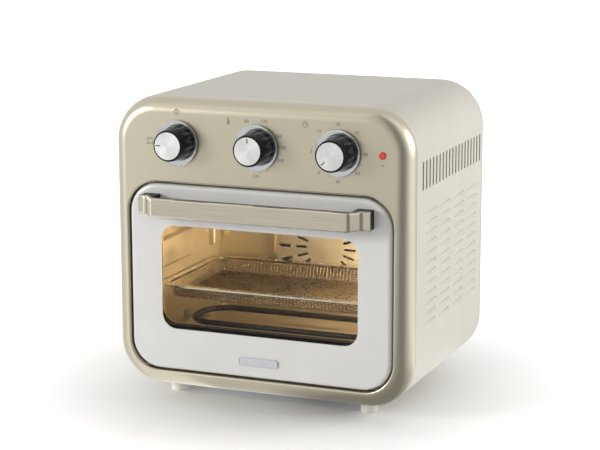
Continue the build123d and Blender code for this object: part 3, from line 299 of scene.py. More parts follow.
def brushed_nickel():
    finish, tree, shader = new_finish("brushed_nickel", {"Metallic": 1.0, "Roughness": 0.18,
                                                         "Anisotropic": 0.8})
    where = add_node(tree, "ShaderNodeTexCoord", {}, {})
    drawn = add_node(tree, "ShaderNodeMapping", {"Scale": (1 / BRUSHED_L, 1 / BRUSHED_W, 1 / BRUSHED_W)},
                     {"Vector": where.outputs["Object"]})
    lines = add_node(tree, "ShaderNodeTexNoise", {"Scale": 1.0, "Detail": 4.0},
                     {"Vector": drawn.outputs["Vector"]})
    # Darker colour where the lines are deep: painted shade in the grooves.
    shades = add_node(tree, "ShaderNodeMix",
                      {"data_type": "RGBA", 6: linear("#AFA897"), 7: linear("#CAC4B4")},
                      {0: lines.outputs["Fac"]})
    across = add_node(tree, "ShaderNodeTangent", {"direction_type": "RADIAL", "axis": "X"}, {})
    tree.links.new(across.outputs["Tangent"], shader.inputs["Tangent"])
    scratch = add_node(tree, "ShaderNodeBump", {"Distance": BRUSHED_DEPTH, "Strength": 1.0},
                       {"Height": lines.outputs["Fac"]})
    tree.links.new(shades.outputs[2], shader.inputs["Base Color"])
    tree.links.new(scratch.outputs["Normal"], shader.inputs["Normal"])
    return finish


dress(brushed_nickel(), "handle_strip")

# %% [markdown]
# ## Moulded plastics and rubber
# The grip behind the strip, the glazing frame, the switch and the cable gland are black nylon
# with glass in it, and the fine spark-eroded grain of their mould dulls them to satin. The feet
# are pale ABS, tinted to go with the frame, and their colour is lifted further as painted light,
# for the bounce that reaches them in the shadow under the oven. The terminal block is ivory nylon,
# a little duller. The seal is silicone, which is matt and a little dusty. The wires run in woven
# glass sleeving, whose braid shows as fine flecks.
#
# One grey plastic with a changed colour would look alike everywhere, because it is the gloss and
# the grain that tell them apart, so each is a material of its own.

# %% Moulded plastics and rubber
def grained_nylon():
    finish, tree, shader = new_finish("grained_nylon", {"Roughness": 0.45, "Specular IOR Level": 0.25})
    mottle(tree, shader, "#0A0A0C", "#101012", size=2 * MM)
    bumps(tree, shader, size=0.6 * MM, height=0.02 * MM)
    return finish


def foot_plastic():
    finish, tree, shader = new_finish("foot_plastic", {"Roughness": 0.42})
    # Paler than the plastic itself: painted light for the bounce that reaches the feet under the oven.
    mottle(tree, shader, "#ECE8DE", "#F2EEE5", size=4 * MM)
    bumps(tree, shader, size=0.8 * MM, height=0.015 * MM)
    return finish


def terminal_plastic():
    finish, tree, shader = new_finish("terminal_plastic", {"Roughness": 0.5})
    mottle(tree, shader, "#D8D5CC", "#E2DFD6", size=4 * MM)
    bumps(tree, shader, size=0.8 * MM, height=0.02 * MM)
    return finish


def seal_silicone():
    finish, tree, shader = new_finish("seal_silicone", {"Roughness": 0.7})
    mottle(tree, shader, "#262626", "#303030", size=5 * MM)
    bumps(tree, shader, size=1.2 * MM, height=0.03 * MM)
    return finish


def wire_sleeving():
    finish, tree, shader = new_finish("wire_sleeving", {"Roughness": 0.75})
    mottle(tree, shader, "#8F8B82", "#B9B5AA", size=1.2 * MM)
    bumps(tree, shader, size=1.0 * MM, height=0.1 * MM, stretch=(1, 1, 3))
    return finish


dress(grained_nylon(), "handle_grip", "glass_frame", "function_switch", "cord_gland")
dress(foot_plastic(), "foot_front_left", "foot_front_right", "foot_rear_left", "foot_rear_right")
dress(terminal_plastic(), "terminal_block")
dress(seal_silicone(), "door_seal")
dress(wire_sleeving(), "wiring_loom")

# %% [markdown]
# ## Sheet steels inside
# The cooking space is aluminised steel: a warm grey metal with broad, soft crystals, lightly
# browned by heat. The hidden sheets are zinc plated, which is colder and shows its spangle.
# Shafts and screws are turned steel, smooth with a short gleam. The fan's blade is pressed from
# bare aluminium, the palest metal in here. The motor's stack of plates is painted dark and
# mirrors little. The hinge irons get the same dark paint as painted shade, for the shadow of the
# door's gap that they sit in.
#
# Spangle is crystals that meet at straight edges. Noise would blur them, so the zinc is drawn
# with Voronoi cells. The motor's plates are the iron's bumps, stretched across the stack and
# kept short along it.

# %% Sheet steels
SPANGLE = 5 * MM


def aluminised_steel():
    finish, tree, shader = new_finish("aluminised_steel", {"Metallic": 0.8})
    mottle(tree, shader, "#BFB498", "#CEC4AA", size=25 * MM, contrast=0.7)
    uneven_gloss(tree, shader, low=0.3, high=0.4, size=30 * MM)
    return finish


def zinc_plate():
    finish, tree, shader = new_finish("zinc_plate", {"Metallic": 1.0})
    where = add_node(tree, "ShaderNodeTexCoord", {}, {})
    crystals = add_node(tree, "ShaderNodeTexVoronoi", {"Scale": 1 / SPANGLE},
                        {"Vector": where.outputs["Object"]})
    shades = add_node(tree, "ShaderNodeMix",
                      {"data_type": "RGBA", 6: linear("#9DA0A1"), 7: linear("#B6B8B8")},
                      {0: crystals.outputs["Color"]})
    tree.links.new(shades.outputs[2], shader.inputs["Base Color"])
    uneven_gloss(tree, shader, low=0.35, high=0.5, size=SPANGLE)
    return finish


def machined_steel():
    finish, tree, shader = new_finish("machined_steel", {"Metallic": 1.0})
    mottle(tree, shader, "#9C9C9B", "#B2B2B0", size=1.5 * MM)
    uneven_gloss(tree, shader, low=0.25, high=0.38, size=3 * MM)
    return finish


def painted_iron():
    finish, tree, shader = new_finish("painted_iron", {"Metallic": 0.6, "Roughness": 0.55})
    mottle(tree, shader, "#4A4946", "#5E5C57", size=3 * MM)
    bumps(tree, shader, size=0.8 * MM, height=0.05 * MM, stretch=(20, 1, 20))
    return finish


def pressed_aluminium():
    finish, tree, shader = new_finish("pressed_aluminium", {"Metallic": 1.0})
    mottle(tree, shader, "#BFC0C0", "#CFD0D0", size=6 * MM)
    uneven_gloss(tree, shader, low=0.3, high=0.42, size=4 * MM)
    return finish


dress(aluminised_steel(), "oven_cavity", "fan_cover", "door_liner", "crumb_tray")
dress(zinc_plate(), "bottom_plate", "heat_shield", "fan_pan", "element_clips", "control_plate",
      "thermostat", "timer")
steel = machined_steel()
dress(steel, "fan_shaft", *[knob + "_shaft" for knob in KNOBS])
dress(steel, "back_screws", "foot_screws", "fan_cover_screws", "door_screws")
# On the hinge parts this dark paint is painted shade for the door's gap.
dress(painted_iron(), "fan_motor", "hinge_bracket_left", "hinge_bracket_right", "hinge_pin_left",
      "hinge_pin_right")
dress(pressed_aluminium(), "fan_blade")

# %% [markdown]
# ## Heating elements and their bushes
# A rod element is a steel tube that heat has turned dark and matt. It enters the wall through
# a bush of white steatite, a ceramic that is almost chalky. A glow could be added with emission,
# but a rod at rest is dark. Heat leaves clouds of colour and gloss on it, which mottle gives.

# %% Elements and ceramic
def heat_darkened_tube():
    finish, tree, shader = new_finish("heat_darkened_tube", {"Metallic": 0.6})
    mottle(tree, shader, "#26221E", "#3A342C", size=9 * MM)
    uneven_gloss(tree, shader, low=0.45, high=0.6, size=5 * MM)
    return finish


def steatite():
    finish, tree, shader = new_finish("steatite", {"Roughness": 0.55})
    mottle(tree, shader, "#E2DECE", "#EEEADD", size=3 * MM)
    bumps(tree, shader, size=0.7 * MM, height=0.03 * MM)
    return finish


dress(heat_darkened_tube(), "upper_element", "lower_element")
dress(steatite(), "element_bushes", "oven_lamp_holder")

# %% [markdown]
# ## Window glass, oven lamp and pilot lamp
# The window is clear float glass with a coating that mirrors little, so its IOR is below plain
# glass's 1.5. Light has to get through it to the basket, and a path tracer loses the sharp light
# behind glass, so for shadow rays the glass lets light straight through. The oven lamp's lens is
# pressed glass lit warm from behind, and the pilot lamp is red polycarbonate that glows a little.

# %% Glass and lamps
def window_glass():
    finish, tree, shader = new_finish("window_glass", {
        "Base Color": linear("#F2F4F2"), "IOR": 1.2, "Transmission Weight": 1.0})
    ray = add_node(tree, "ShaderNodeLightPath", {}, {})
    clear = add_node(tree, "ShaderNodeBsdfTransparent", {"Color": linear("#EDEFEC")}, {})
    either = add_node(tree, "ShaderNodeMixShader", {},
                      {0: ray.outputs["Is Shadow Ray"], 1: shader.outputs["BSDF"], 2: clear.outputs["BSDF"]})
    tree.links.new(either.outputs["Shader"], tree.nodes["Material Output"].inputs["Surface"])
    uneven_gloss(tree, shader, low=0.0, high=0.02, size=30 * MM)
    return finish


def lit_lens():
    finish, tree, shader = new_finish("lit_lens", {
        "Roughness": 0.25, "Emission Color": linear("#FFCF8A"), "Emission Strength": 1.6})
    mottle(tree, shader, "#E8D8B8", "#F6ECD6", size=4 * MM)
    bumps(tree, shader, size=2 * MM, height=0.2 * MM)
    return finish


def red_polycarbonate():
    finish, tree, shader = new_finish("red_polycarbonate", {
        "Emission Color": linear("#E23A12"), "Emission Strength": 0.2,
        "Coat Weight": 0.6, "Coat Roughness": 0.05})
    mottle(tree, shader, "#B32018", "#D2321F", size=2 * MM)
    uneven_gloss(tree, shader, low=0.12, high=0.2, size=2 * MM)
    return finish


dress(window_glass(), "door_glass")
dress(lit_lens(), "oven_lamp_lens")
dress(red_polycarbonate(), "pilot_lamp")

# %% [markdown]
# ## Badge plate and basket rim
# The badge is a small zinc casting with a satin field and a raised rim, left bare. The basket's
# rim is a chromed steel strip. The wires below it are stainless, and their colour is a dark brown
# as painted shade, for the dark cavity behind them and the shadow they sit in, so that the tray
# stays darker than its rim. All three could share one metal, but bare metal shows little else
# than its shade and its gloss, so those two differ from piece to piece.

# %% Badge and rim
def satin_zinc():
    finish, tree, shader = new_finish("satin_zinc", {"Metallic": 0.9})
    mottle(tree, shader, "#BDBFC3", "#D0D1D5", size=2 * MM)
    uneven_gloss(tree, shader, low=0.3, high=0.42, size=3 * MM)
    return finish


def bright_wire():
    finish, tree, shader = new_finish("bright_wire", {"Metallic": 1.0})
    mottle(tree, shader, "#BDB8AC", "#DAD6CC", size=12 * MM)
    uneven_gloss(tree, shader, low=0.15, high=0.28, size=5 * MM)
    return finish


def browned_wire():
    finish, tree, shader = new_finish("browned_wire", {"Metallic": 1.0})
    # The dark brown is painted shade, for the dark cavity behind the wires.
    mottle(tree, shader, "#7A6C56", "#97886E", size=12 * MM)
    uneven_gloss(tree, shader, low=0.25, high=0.4, size=5 * MM)
    return finish


dress(satin_zinc(), "door_badge")
dress(bright_wire(), "basket_rim")

# %% [markdown]
# ## The woven basket
# The basket's tray is steel wire woven over and under at each crossing and pressed to shape.
# A CAD solid of that would be dozens of long tubes, so the frame has a thin skin, and the wires
# are drawn here: one polyline for each, lifted or lowered by half a wire where two cross. Each
# wire follows the skin's own section, down one sloping wall, across the floor and up the other.
# A see-through pattern on the skin would be lighter, but it has no thickness seen from the side.
# A bevelled curve gives every line its section at once, and one curve holds all the wires.

# %% Basket sizes, from the frame's skin
WIRE_PITCH = 4.0 * MM
WIRE_R = 0.4 * MM
WALL_PITCH = 2.6 * MM
TRAY_CORNER = 14.0 * MM
CORNER_STEPS = 8
TRAY_TAPER = 4.0 * MM
WALL_FOOT = 0.15
WALL_MIDDLE = 0.55
tray_low, tray_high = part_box("basket_mesh")
print("basket tray:", [round(v / MM, 1) for v in tray_high - tray_low], "mm")


# %% One wire's line through the tray
def tray_reach(across, half_across, half_along):
    """How far a wire at this offset runs before it meets the rounded outline."""
    straight = half_across - TRAY_CORNER
    if abs(across) <= straight:
        return half_along
    beyond = min(abs(across) - straight, TRAY_CORNER)
    return half_along - TRAY_CORNER + sqrt(TRAY_CORNER ** 2 - beyond ** 2)


def tray_wire(across, half_across, half_along, phase):
    """Points (along, height) of one wire: down one wall, over the floor with its weave, up the other.

    A wall starts a little above the floor, where the wire bends, and runs out as it rises."""
    depth = tray_high.z - tray_low.z - 2 * WIRE_R
    top = tray_reach(across, half_across, half_along) - WIRE_R
    foot = max(top - TRAY_TAPER, WIRE_PITCH / 2)
    count = int(foot / WIRE_PITCH)
    floor_points = [(i * WIRE_PITCH, WIRE_R * cos(pi * (i + phase))) for i in range(-count, count + 1)]
    wall = [(foot, WALL_FOOT * depth), (foot + TRAY_TAPER / 2, WALL_MIDDLE * depth), (top, depth)]
    left = [(-along, height) for along, height in reversed(wall)]
    return left + floor_points + wall


def wall_ring(half_x, half_y, radius):
    """Points (x, y) once round a rounded rectangle."""
    points = []
    for corner in range(4):
        side_x = (1, -1, -1, 1)[corner]
        side_y = (1, 1, -1, -1)[corner]
        for step in range(CORNER_STEPS + 1):
            angle = (corner + step / CORNER_STEPS) * pi / 2
            points.append((side_x * (half_x - radius) + radius * cos(angle),
                           side_y * (half_y - radius) + radius * sin(angle)))
    return points


def add_wire(curve, points, cyclic=False):
    """One wire of the curve, as straight runs from point to point."""
    spline = curve.splines.new("POLY")
    spline.points.add(len(points) - 1)
    for place, point in zip(spline.points, points):
        place.co = (*point, 1.0)
    spline.use_cyclic_u = cyclic


print("points round one wall ring:", len(wall_ring(tray_high.x, tray_high.y, TRAY_CORNER)))


# %% All the wires as one bevelled curve
def woven_basket():
    curve = bpy.data.curves.new("woven_basket", "CURVE")
    curve.dimensions = "3D"
    curve.bevel_depth = WIRE_R
    curve.bevel_resolution = 0
    middle = (tray_low + tray_high) / 2
    half_x = (tray_high.x - tray_low.x) / 2
    half_y = (tray_high.y - tray_low.y) / 2
    base = tray_low.z + 2 * WIRE_R
    for i in range(-int(half_x / WIRE_PITCH - 1), int(half_x / WIRE_PITCH)):
        x = i * WIRE_PITCH
        line = tray_wire(x, half_x, half_y, i)
        add_wire(curve, [(middle.x + x, middle.y + y, base + z) for y, z in line])
    for j in range(-int(half_y / WIRE_PITCH - 1), int(half_y / WIRE_PITCH)):
        y = j * WIRE_PITCH
        line = tray_wire(y, half_y, half_x, j + 1)
        add_wire(curve, [(middle.x + x, middle.y + y, base + z) for x, z in line])
    depth = tray_high.z - tray_low.z - 2 * WIRE_R
    for k in range(1, int(depth / WALL_PITCH) + 1):
        inset = TRAY_TAPER * (1 - k * WALL_PITCH / depth) + WIRE_R
        ring = wall_ring(half_x - inset, half_y - inset, TRAY_CORNER)
        add_wire(curve, [(middle.x + x, middle.y + y, base + k * WALL_PITCH) for x, y in ring], cyclic=True)
    # The wires' dark brown colour is painted shade.
    curve.materials.append(browned_wire())
    print("wires:", len(curve.splines))
    return add_object("woven_basket", curve)


basket = woven_basket()
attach(basket, "basket")
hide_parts("basket_mesh")

# %% [markdown]
# ## Printed marks on the control panel
# Pad printing lays an ink skin of a few hundredths of a millimetre on the lacquer, dull beside
# its shine. Numbers are text with a hair of thickness, ticks and symbols are flat ribbons, and
# both lie on the panel's front plane. As geometry they stay sharp from close by, which an image
# would not. Only plain dial marks are drawn: temperatures, minutes, four simple symbols and a dot
# by the pilot lamp.
# Each is placed by how far right and up it stands from a knob's middle, in millimetres, and that
# middle is where the frame's own joint turns the knob.

# %% Ink
def printed_ink():
    finish, tree, shader = new_finish("printed_ink", {"Roughness": 0.6})
    mottle(tree, shader, "#6A6552", "#7A7562", size=1.5 * MM)
    bumps(tree, shader, size=0.5 * MM, height=0.01 * MM)
    return finish


ink = printed_ink()
PANEL_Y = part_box("front_frame")[0].y
INK_T = 0.06 * MM
knob_joints = [joint for joint in frame["joints"] if joint["child"] in KNOBS]
knob_middles = {joint["child"]: Vector(joint["pos_m"]) for joint in knob_joints}
print("panel plane at y", round(PANEL_Y, 4), "knobs:", len(knob_middles))


# %% Numbers on the panel
NUMBER_H = 5.0 * MM


def printed_number(name, text, knob, right, up):
    """A number centred at a place beside its knob, facing forwards."""
    curve = bpy.data.curves.new(name, "FONT")
    curve.body = text
    curve.size = NUMBER_H
    curve.extrude = INK_T / 2
    curve.align_x = "CENTER"
    curve.align_y = "CENTER"
    curve.materials.append(ink)
    piece = add_object(name, curve)
    middle = knob_middles[knob]
    place = Matrix.Translation((middle.x + right * MM, PANEL_Y - INK_T / 2, middle.z + up * MM))
    piece.matrix_world = place @ Matrix.Rotation(pi / 2, 4, "X")
    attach(piece, "oven")


TEMPERATURES = {80: (-11.1, 26.5), 120: (8.2, 27.5), 160: (24.5, 13.3), 180: (28.1, 1.7),
                200: (26.0, -11.5), 230: (-0.9, -29.6)}
MINUTES = {0: (-21.0, -21.3), 5: (-29.3, 0.0), 10: (-21.3, 20.5), 20: (-0.9, 28.8),
           30: (19.3, 21.5), 40: (28.6, -0.1), 50: (20.1, -19.6), 60: (-0.6, -29.2)}
for degrees, (right, up) in TEMPERATURES.items():
    printed_number(f"temperature_{degrees}", str(degrees), "temperature_knob", right, up)
for minutes, (right, up) in MINUTES.items():
    printed_number(f"minutes_{minutes}", str(minutes), "timer_knob", right, up)
print("numbers:", len(TEMPERATURES) + len(MINUTES))


# %% Flat ribbons of ink
def finished_mesh(name, mesh, finish=None):
    """Mesh data from a bmesh, which is freed, with its finish where it has one."""
    data = bpy.data.meshes.new(name)
    mesh.to_mesh(data)
    mesh.free()
    if finish:
        data.materials.append(finish)
    return data


def ink_ribbons(name, lines, width, knob, right=0.0, up=0.0):
    """Lines of (right, up) points in millimetres round a place beside a knob, drawn with a flat pen."""
    middle = knob_middles[knob] + Vector((right * MM, 0, up * MM))
    mesh = bmesh.new()
    for line in lines:
        for start, end in zip(line, line[1:]):
            run = Vector(end) - Vector(start)
            side = Vector((-run.y, run.x)).normalized() * width / 2
            along = run.normalized() * width / 4
            corners = (Vector(start) - along - side, Vector(end) + along - side,
                       Vector(end) + along + side, Vector(start) - along + side)
            mesh.faces.new([mesh.verts.new((middle.x + c.x * MM, PANEL_Y - INK_T, middle.z + c.y * MM))
                            for c in corners])
    piece = add_object(name, finished_mesh(name, mesh, ink))
    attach(piece, "oven")


def arc_line(radius, start, stop, steps=10, x=0.0, z=0.0):
    """Points on an arc; angles in degrees, counter-clockwise from the right."""
    turns = [radians(start + (stop - start) * i / steps) for i in range(steps + 1)]
    return [(x + radius * cos(a), z + radius * sin(a)) for a in turns]


def spoke(angle, inner, outer):
    """A straight line along one direction."""
    return [(r * cos(radians(angle)), r * sin(radians(angle))) for r in (inner, outer)]


print("points on a half turn:", len(arc_line(1.0, 0, 180)))


# %% Ticks round the two scales
PEN = 0.5
TICK_IN = 25.5
TICK_OUT = 26.6
TEMPERATURE_FIRST = 100.0
TEMPERATURE_STEP = 18.2
MINUTE_FIRST = 157.5
MINUTE_STEP = 45.0
temperature_ticks = [TEMPERATURE_FIRST - TEMPERATURE_STEP * i for i in range(11)]
minute_ticks = [MINUTE_FIRST - MINUTE_STEP * i for i in range(7)]
ink_ribbons("temperature_ticks", [spoke(a, TICK_IN, TICK_OUT) for a in temperature_ticks], PEN,
            "temperature_knob")
ink_ribbons("minute_ticks", [spoke(a, TICK_IN, TICK_OUT) for a in minute_ticks], PEN, "timer_knob")
print("ticks:", len(temperature_ticks) + len(minute_ticks))


# %% Four plain symbols and the lamp's dot
def fan_symbol():
    """Four curled blades and a hub."""
    blade_r = 1.5
    hub_r = 0.4
    blades = []
    for turn in (0, 90, 180, 270):
        _, (x, z) = spoke(turn, 0, blade_r)
        blades.append(arc_line(blade_r, turn - 100, turn + 80, 6, x, z))
    return blades + [arc_line(hub_r, 0, 360, 8)]


def oven_symbol():
    """A square with a bar of heat above and below."""
    side = 3.2
    bar = 2.0
    square = [(-side, -side), (side, -side), (side, side), (-side, side), (-side, -side)]
    return [square, [(-bar, bar), (bar, bar)], [(-bar, -bar), (bar, -bar)]]


def thermometer_symbol():
    """A tube with its bulb, and the column in it."""
    tube_r, tube_foot, tube_top = 0.6, -1.0, 3.0
    bulb_r, bulb_z = 1.2, -2.0
    column_top = 1.0
    tube = [(-tube_r, tube_foot), (-tube_r, tube_top)] + arc_line(tube_r, 180, 0, 6, 0, tube_top)
    bulb = arc_line(bulb_r, 120, 420, 12, 0, bulb_z)
    return [tube + [(tube_r, tube_foot)], bulb, [(0, bulb_z), (0, column_top)]]


def clock_symbol():
    """A round face and two hands."""
    face_r, minute_hand, hour_hand = 2.8, 2.0, 1.5
    return [arc_line(face_r, 0, 360, 20), [(0, minute_hand), (0, 0), (hour_hand, 0)]]


DOT_R = 0.5
DOT_PEN = 0.6
ink_ribbons("fan_symbol", fan_symbol(), PEN, "function_knob", right=-0.6, up=32.1)
ink_ribbons("oven_symbol", oven_symbol(), PEN, "function_knob", right=-31.7, up=0.4)
ink_ribbons("thermometer_symbol", thermometer_symbol(), PEN, "temperature_knob", right=-31.3, up=25.5)
ink_ribbons("clock_symbol", clock_symbol(), PEN, "timer_knob", right=-35.8, up=26.8)
ink_ribbons("lamp_dot", [arc_line(DOT_R, 0, 360)], DOT_PEN, "timer_knob", right=46.6, up=-10.2)
print("lines in the fan's symbol:", len(fan_symbol()))

# %% [markdown]
# ## The pointer on each knob
# The face disc has a short groove at its rim, filled with black paint, so that a cook sees where
# the knob stands. The paint lies just under the metal's surface. It could be a dark stripe in the
# disc's material. As a small flat mesh it has a crisp edge and a paint of its own, and it rides
# on the knob's body, so it turns with the knob.

# %% Pointer paint
POINTER_ANGLES = {"function_knob": 90.0, "temperature_knob": 0.0, "timer_knob": 135.0}
POINTER_L = 5.4 * MM
POINTER_W = 1.0 * MM
POINTER_SINK = 0.25 * MM
POINTER_FROM_RIM = 0.6 * MM
POINTER_END_STEPS = 6


def pointer_paint():
    finish, tree, shader = new_finish("pointer_paint", {"Roughness": 0.4})
    mottle(tree, shader, "#161617", "#222224", size=1 * MM)
    bumps(tree, shader, size=0.4 * MM, height=0.02 * MM)
    return finish


def pointer_line(knob, angle, paint):
    """A flat bar with round ends in the face's groove."""
    low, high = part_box(knob + "_face")
    face_r = (high.x - low.x) / 2
    middle = (low + high) / 2
    mesh = bmesh.new()
    half = POINTER_L / 2 - POINTER_W / 2
    outline = []
    for end, first in ((1, 0), (-1, pi)):
        for step in range(POINTER_END_STEPS + 1):
            a = first + step / POINTER_END_STEPS * pi
            outline.append(Vector((POINTER_W / 2 * cos(a), 0, end * half + POINTER_W / 2 * sin(a))))
    lift = Vector((0, 0, face_r - POINTER_L / 2 - POINTER_FROM_RIM))
    turn = Matrix.Rotation(radians(-angle), 4, "Y")
    seat = Vector((middle.x, low.y + POINTER_SINK, middle.z))
    mesh.faces.new([mesh.verts.new(turn @ (point + lift) + seat) for point in outline])
    piece = add_object(knob + "_pointer", finished_mesh(knob + "_pointer", mesh, paint))
    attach(piece, knob)


black_paint = pointer_paint()
for knob, angle in POINTER_ANGLES.items():
    pointer_line(knob, angle, black_paint)
print("pointers:", len(POINTER_ANGLES))

# %% [markdown]
# ## Screws with a cross recess
# The case is held by pan-head screws. The frame has their plain shape, and each gets a domed head
# here with the cross that a screwdriver needs. A cross could be painted on with a bump, but a
# recess shows its depth from any side. So one head is turned as a section and cut with two
# blades in a boolean modifier, and its mesh is then set at every place where the frame has a
# screw. No two screws in a row stop at the same angle, so each is spun on from the one before.

# %% One pan head
HEAD_R = 3.6 * MM
HEAD_H = 2.2 * MM
HEAD_DOME = 0.45 * HEAD_H
HEAD_RIM = 0.45 * HEAD_H
DOME_STEPS = 6
TURNED_STEPS = 24
SHANK_R = 1.9 * MM
CROSS_W = 0.9 * MM
CROSS_L = 4.0 * MM
CROSS_DEPTH = 1.3 * MM
SCREW_SPIN = 0.9
WELD = 1e-6


def turned_screw(shank):
    """Mesh of a screw along +Z, its head's seat at 0 and its shank below."""
    section = [(0, HEAD_H)]
    for step in range(1, DOME_STEPS):
        angle = step / DOME_STEPS * pi / 2
        section.append((HEAD_R * sin(angle), HEAD_H - HEAD_DOME + HEAD_DOME * cos(angle)))
    section += [(HEAD_R, HEAD_RIM), (HEAD_R, 0), (SHANK_R, 0), (SHANK_R, -shank), (0, -shank)]
    mesh = bmesh.new()
    points = [mesh.verts.new((r, 0, z)) for r, z in section]
    edges = [mesh.edges.new(pair) for pair in zip(points, points[1:])]
    bmesh.ops.spin(mesh, geom=points + edges, axis=(0, 0, 1), cent=(0, 0, 0), angle=tau, steps=TURNED_STEPS)
    bmesh.ops.remove_doubles(mesh, verts=mesh.verts, dist=WELD)
    bmesh.ops.recalc_face_normals(mesh, faces=mesh.faces)
    return finished_mesh("turned_screw", mesh)


def cross_blades():
    """Two crossed blades that leave the recess."""
    mesh = bmesh.new()
    for width, depth in ((CROSS_L, CROSS_W), (CROSS_W, CROSS_L)):
        shape = Matrix.Translation((0, 0, HEAD_H)) @ Matrix.Diagonal((width, depth, 2 * CROSS_DEPTH, 1))
        bmesh.ops.create_cube(mesh, size=1.0, matrix=shape)
    return finished_mesh("cross_blades", mesh)


def recessed_screw(shank):
    """The turned screw with the cross cut into it. The blades cross, so the cut allows for that."""
    body = add_object("screw_body", turned_screw(shank))
    blades = add_object("screw_blades", cross_blades())
    cut = body.modifiers.new("recess", "BOOLEAN")
    cut.operation = "DIFFERENCE"
    cut.solver = "EXACT"
    cut.use_self = True
    cut.object = blades
    bpy.context.view_layer.update()
    done = bpy.data.meshes.new_from_object(body.evaluated_get(bpy.context.evaluated_depsgraph_get()))
    bpy.data.objects.remove(body)
    bpy.data.objects.remove(blades)
    return done


print("screw head:", round(2 * HEAD_R / MM, 1), "mm wide")


# %% Screws where the frame has them
def islands(node):
    """The separate solids of a CAD node, each as its lowest and highest corner."""
    mesh = bmesh.new()
    mesh.from_mesh(frame["nodes"][node].data)
    bmesh.ops.remove_doubles(mesh, verts=mesh.verts, dist=WELD)
    seen, groups = set(), []
    for start in mesh.verts:
        if start in seen:
            continue
        seen.add(start)
        group, queue = [], [start]
        while queue:
            vert = queue.pop()
            group.append(vert.co.copy())
            for edge in vert.link_edges:
                other = edge.other_vert(vert)
                if other not in seen:
                    seen.add(other)
                    queue.append(other)
        groups.append(group)
    mesh.free()
    return [(Vector([min(p[i] for p in group) for i in range(3)]),
             Vector([max(p[i] for p in group) for i in range(3)])) for group in groups]


def set_screws(node, outward, finish):
    """One piece with a recessed screw at each of the node's screws, heads facing outward."""
    outward = Vector(outward)
    axis = max(range(3), key=lambda i: abs(outward[i]))
    places = islands(node)
    length = places[0][1][axis] - places[0][0][axis]
    source = recessed_screw(length - HEAD_H)
    mesh = bmesh.new()
    for number, (low, high) in enumerate(places):
        seat = (low + high) / 2
        seat[axis] = (high if outward[axis] > 0 else low)[axis] - outward[axis] * HEAD_H
        turn = outward.to_track_quat("Z", "Y").to_matrix().to_4x4()
        spin = Matrix.Rotation(SCREW_SPIN * number, 4, "Z")
        part = source.copy()
        part.transform(Matrix.Translation(seat) @ turn @ spin)
        mesh.from_mesh(part)
        bpy.data.meshes.remove(part)
    piece = add_object(node + "_recessed", finished_mesh(node + "_recessed", mesh, finish))
    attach(piece, "oven")
    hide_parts(node)
    print(node, "screws:", len(places))


set_screws("back_screws", (0, 1, 0), steel)
set_screws("fan_cover_screws", (0, -1, 0), steel)
set_screws("foot_screws", (0, 0, -1), steel)

# %% [markdown]
# ## The studio
# A white table and a white room. The key light is a soft box to the front left, a second one
# stands behind to the right for the housing's side, and the world fills the rest, more from its
# walls than from its ceiling, which keeps the oven's top a shade darker than its front.
#
# Stronger lamps would make the floor white, and clip the pale paint with it. So the floor is lit
# as any floor, and only for the camera it is lifted to paper white: not at all close to the
# oven, where its shadow lies, and wholly further out. The Light Path node tells the camera's
# rays from the rest, so nothing extra falls on the oven.
#
# Metal shows the room round it, so the room is not the same all round for mirrors. It is plain in
# front, has a bright sheet to the left of that, a dark stretch at the front right, where a
# photographer stands a grey flag, and a bright sheet again on the right. That draws the bright
# edges on the frame's two rolls and the dark band inside the right one. Floor and walls share
# these bands, given as the turn from straight ahead of the oven, in degrees, and a brightness.
# The compass that reads the turn is an arc tangent, because it tells left from right.

# %% The room that metal mirrors
ROOM_BANDS = ((-180, 1.0), (-90, 1.05), (-58, 1.05), (-50, 1.5), (-36, 1.5), (-31, 0.95), (-2, 0.92),
              (32, 0.34), (60, 0.34), (86, 1.1), (98, 1.6), (126, 1.6), (134, 1.0), (180, 1.0))


def mirrored_room(tree, direction):
    """How bright the room is for mirrors in a direction, by its turn from straight ahead."""
    parts = add_node(tree, "ShaderNodeSeparateXYZ", {}, {"Vector": direction})
    ahead = add_node(tree, "ShaderNodeMath", {"operation": "MULTIPLY", 1: -1.0}, {0: parts.outputs["Y"]})
    turn = add_node(tree, "ShaderNodeMath", {"operation": "ARCTAN2"},
                    {0: parts.outputs["X"], 1: ahead.outputs[0]})
    share = add_node(tree, "ShaderNodeMapRange", {"From Min": -pi, "From Max": pi},
                     {"Value": turn.outputs[0]})
    bands = add_node(tree, "ShaderNodeValToRGB", {}, {"Fac": share.outputs["Result"]})
    stops = bands.color_ramp.elements
    while len(stops) < len(ROOM_BANDS):
        stops.new(0.5)
    for stop, (degrees, level) in zip(stops, ROOM_BANDS):
        stop.position = (degrees + 180) / 360
        stop.color = (level, level, level, 1.0)
    return bands.outputs["Color"]


print("bands in the mirrored room:", len(ROOM_BANDS))


# %% Floor
FLOOR_SIZE = 12.0
FLOOR_NEAR = 0.12
FLOOR_FAR = 0.48


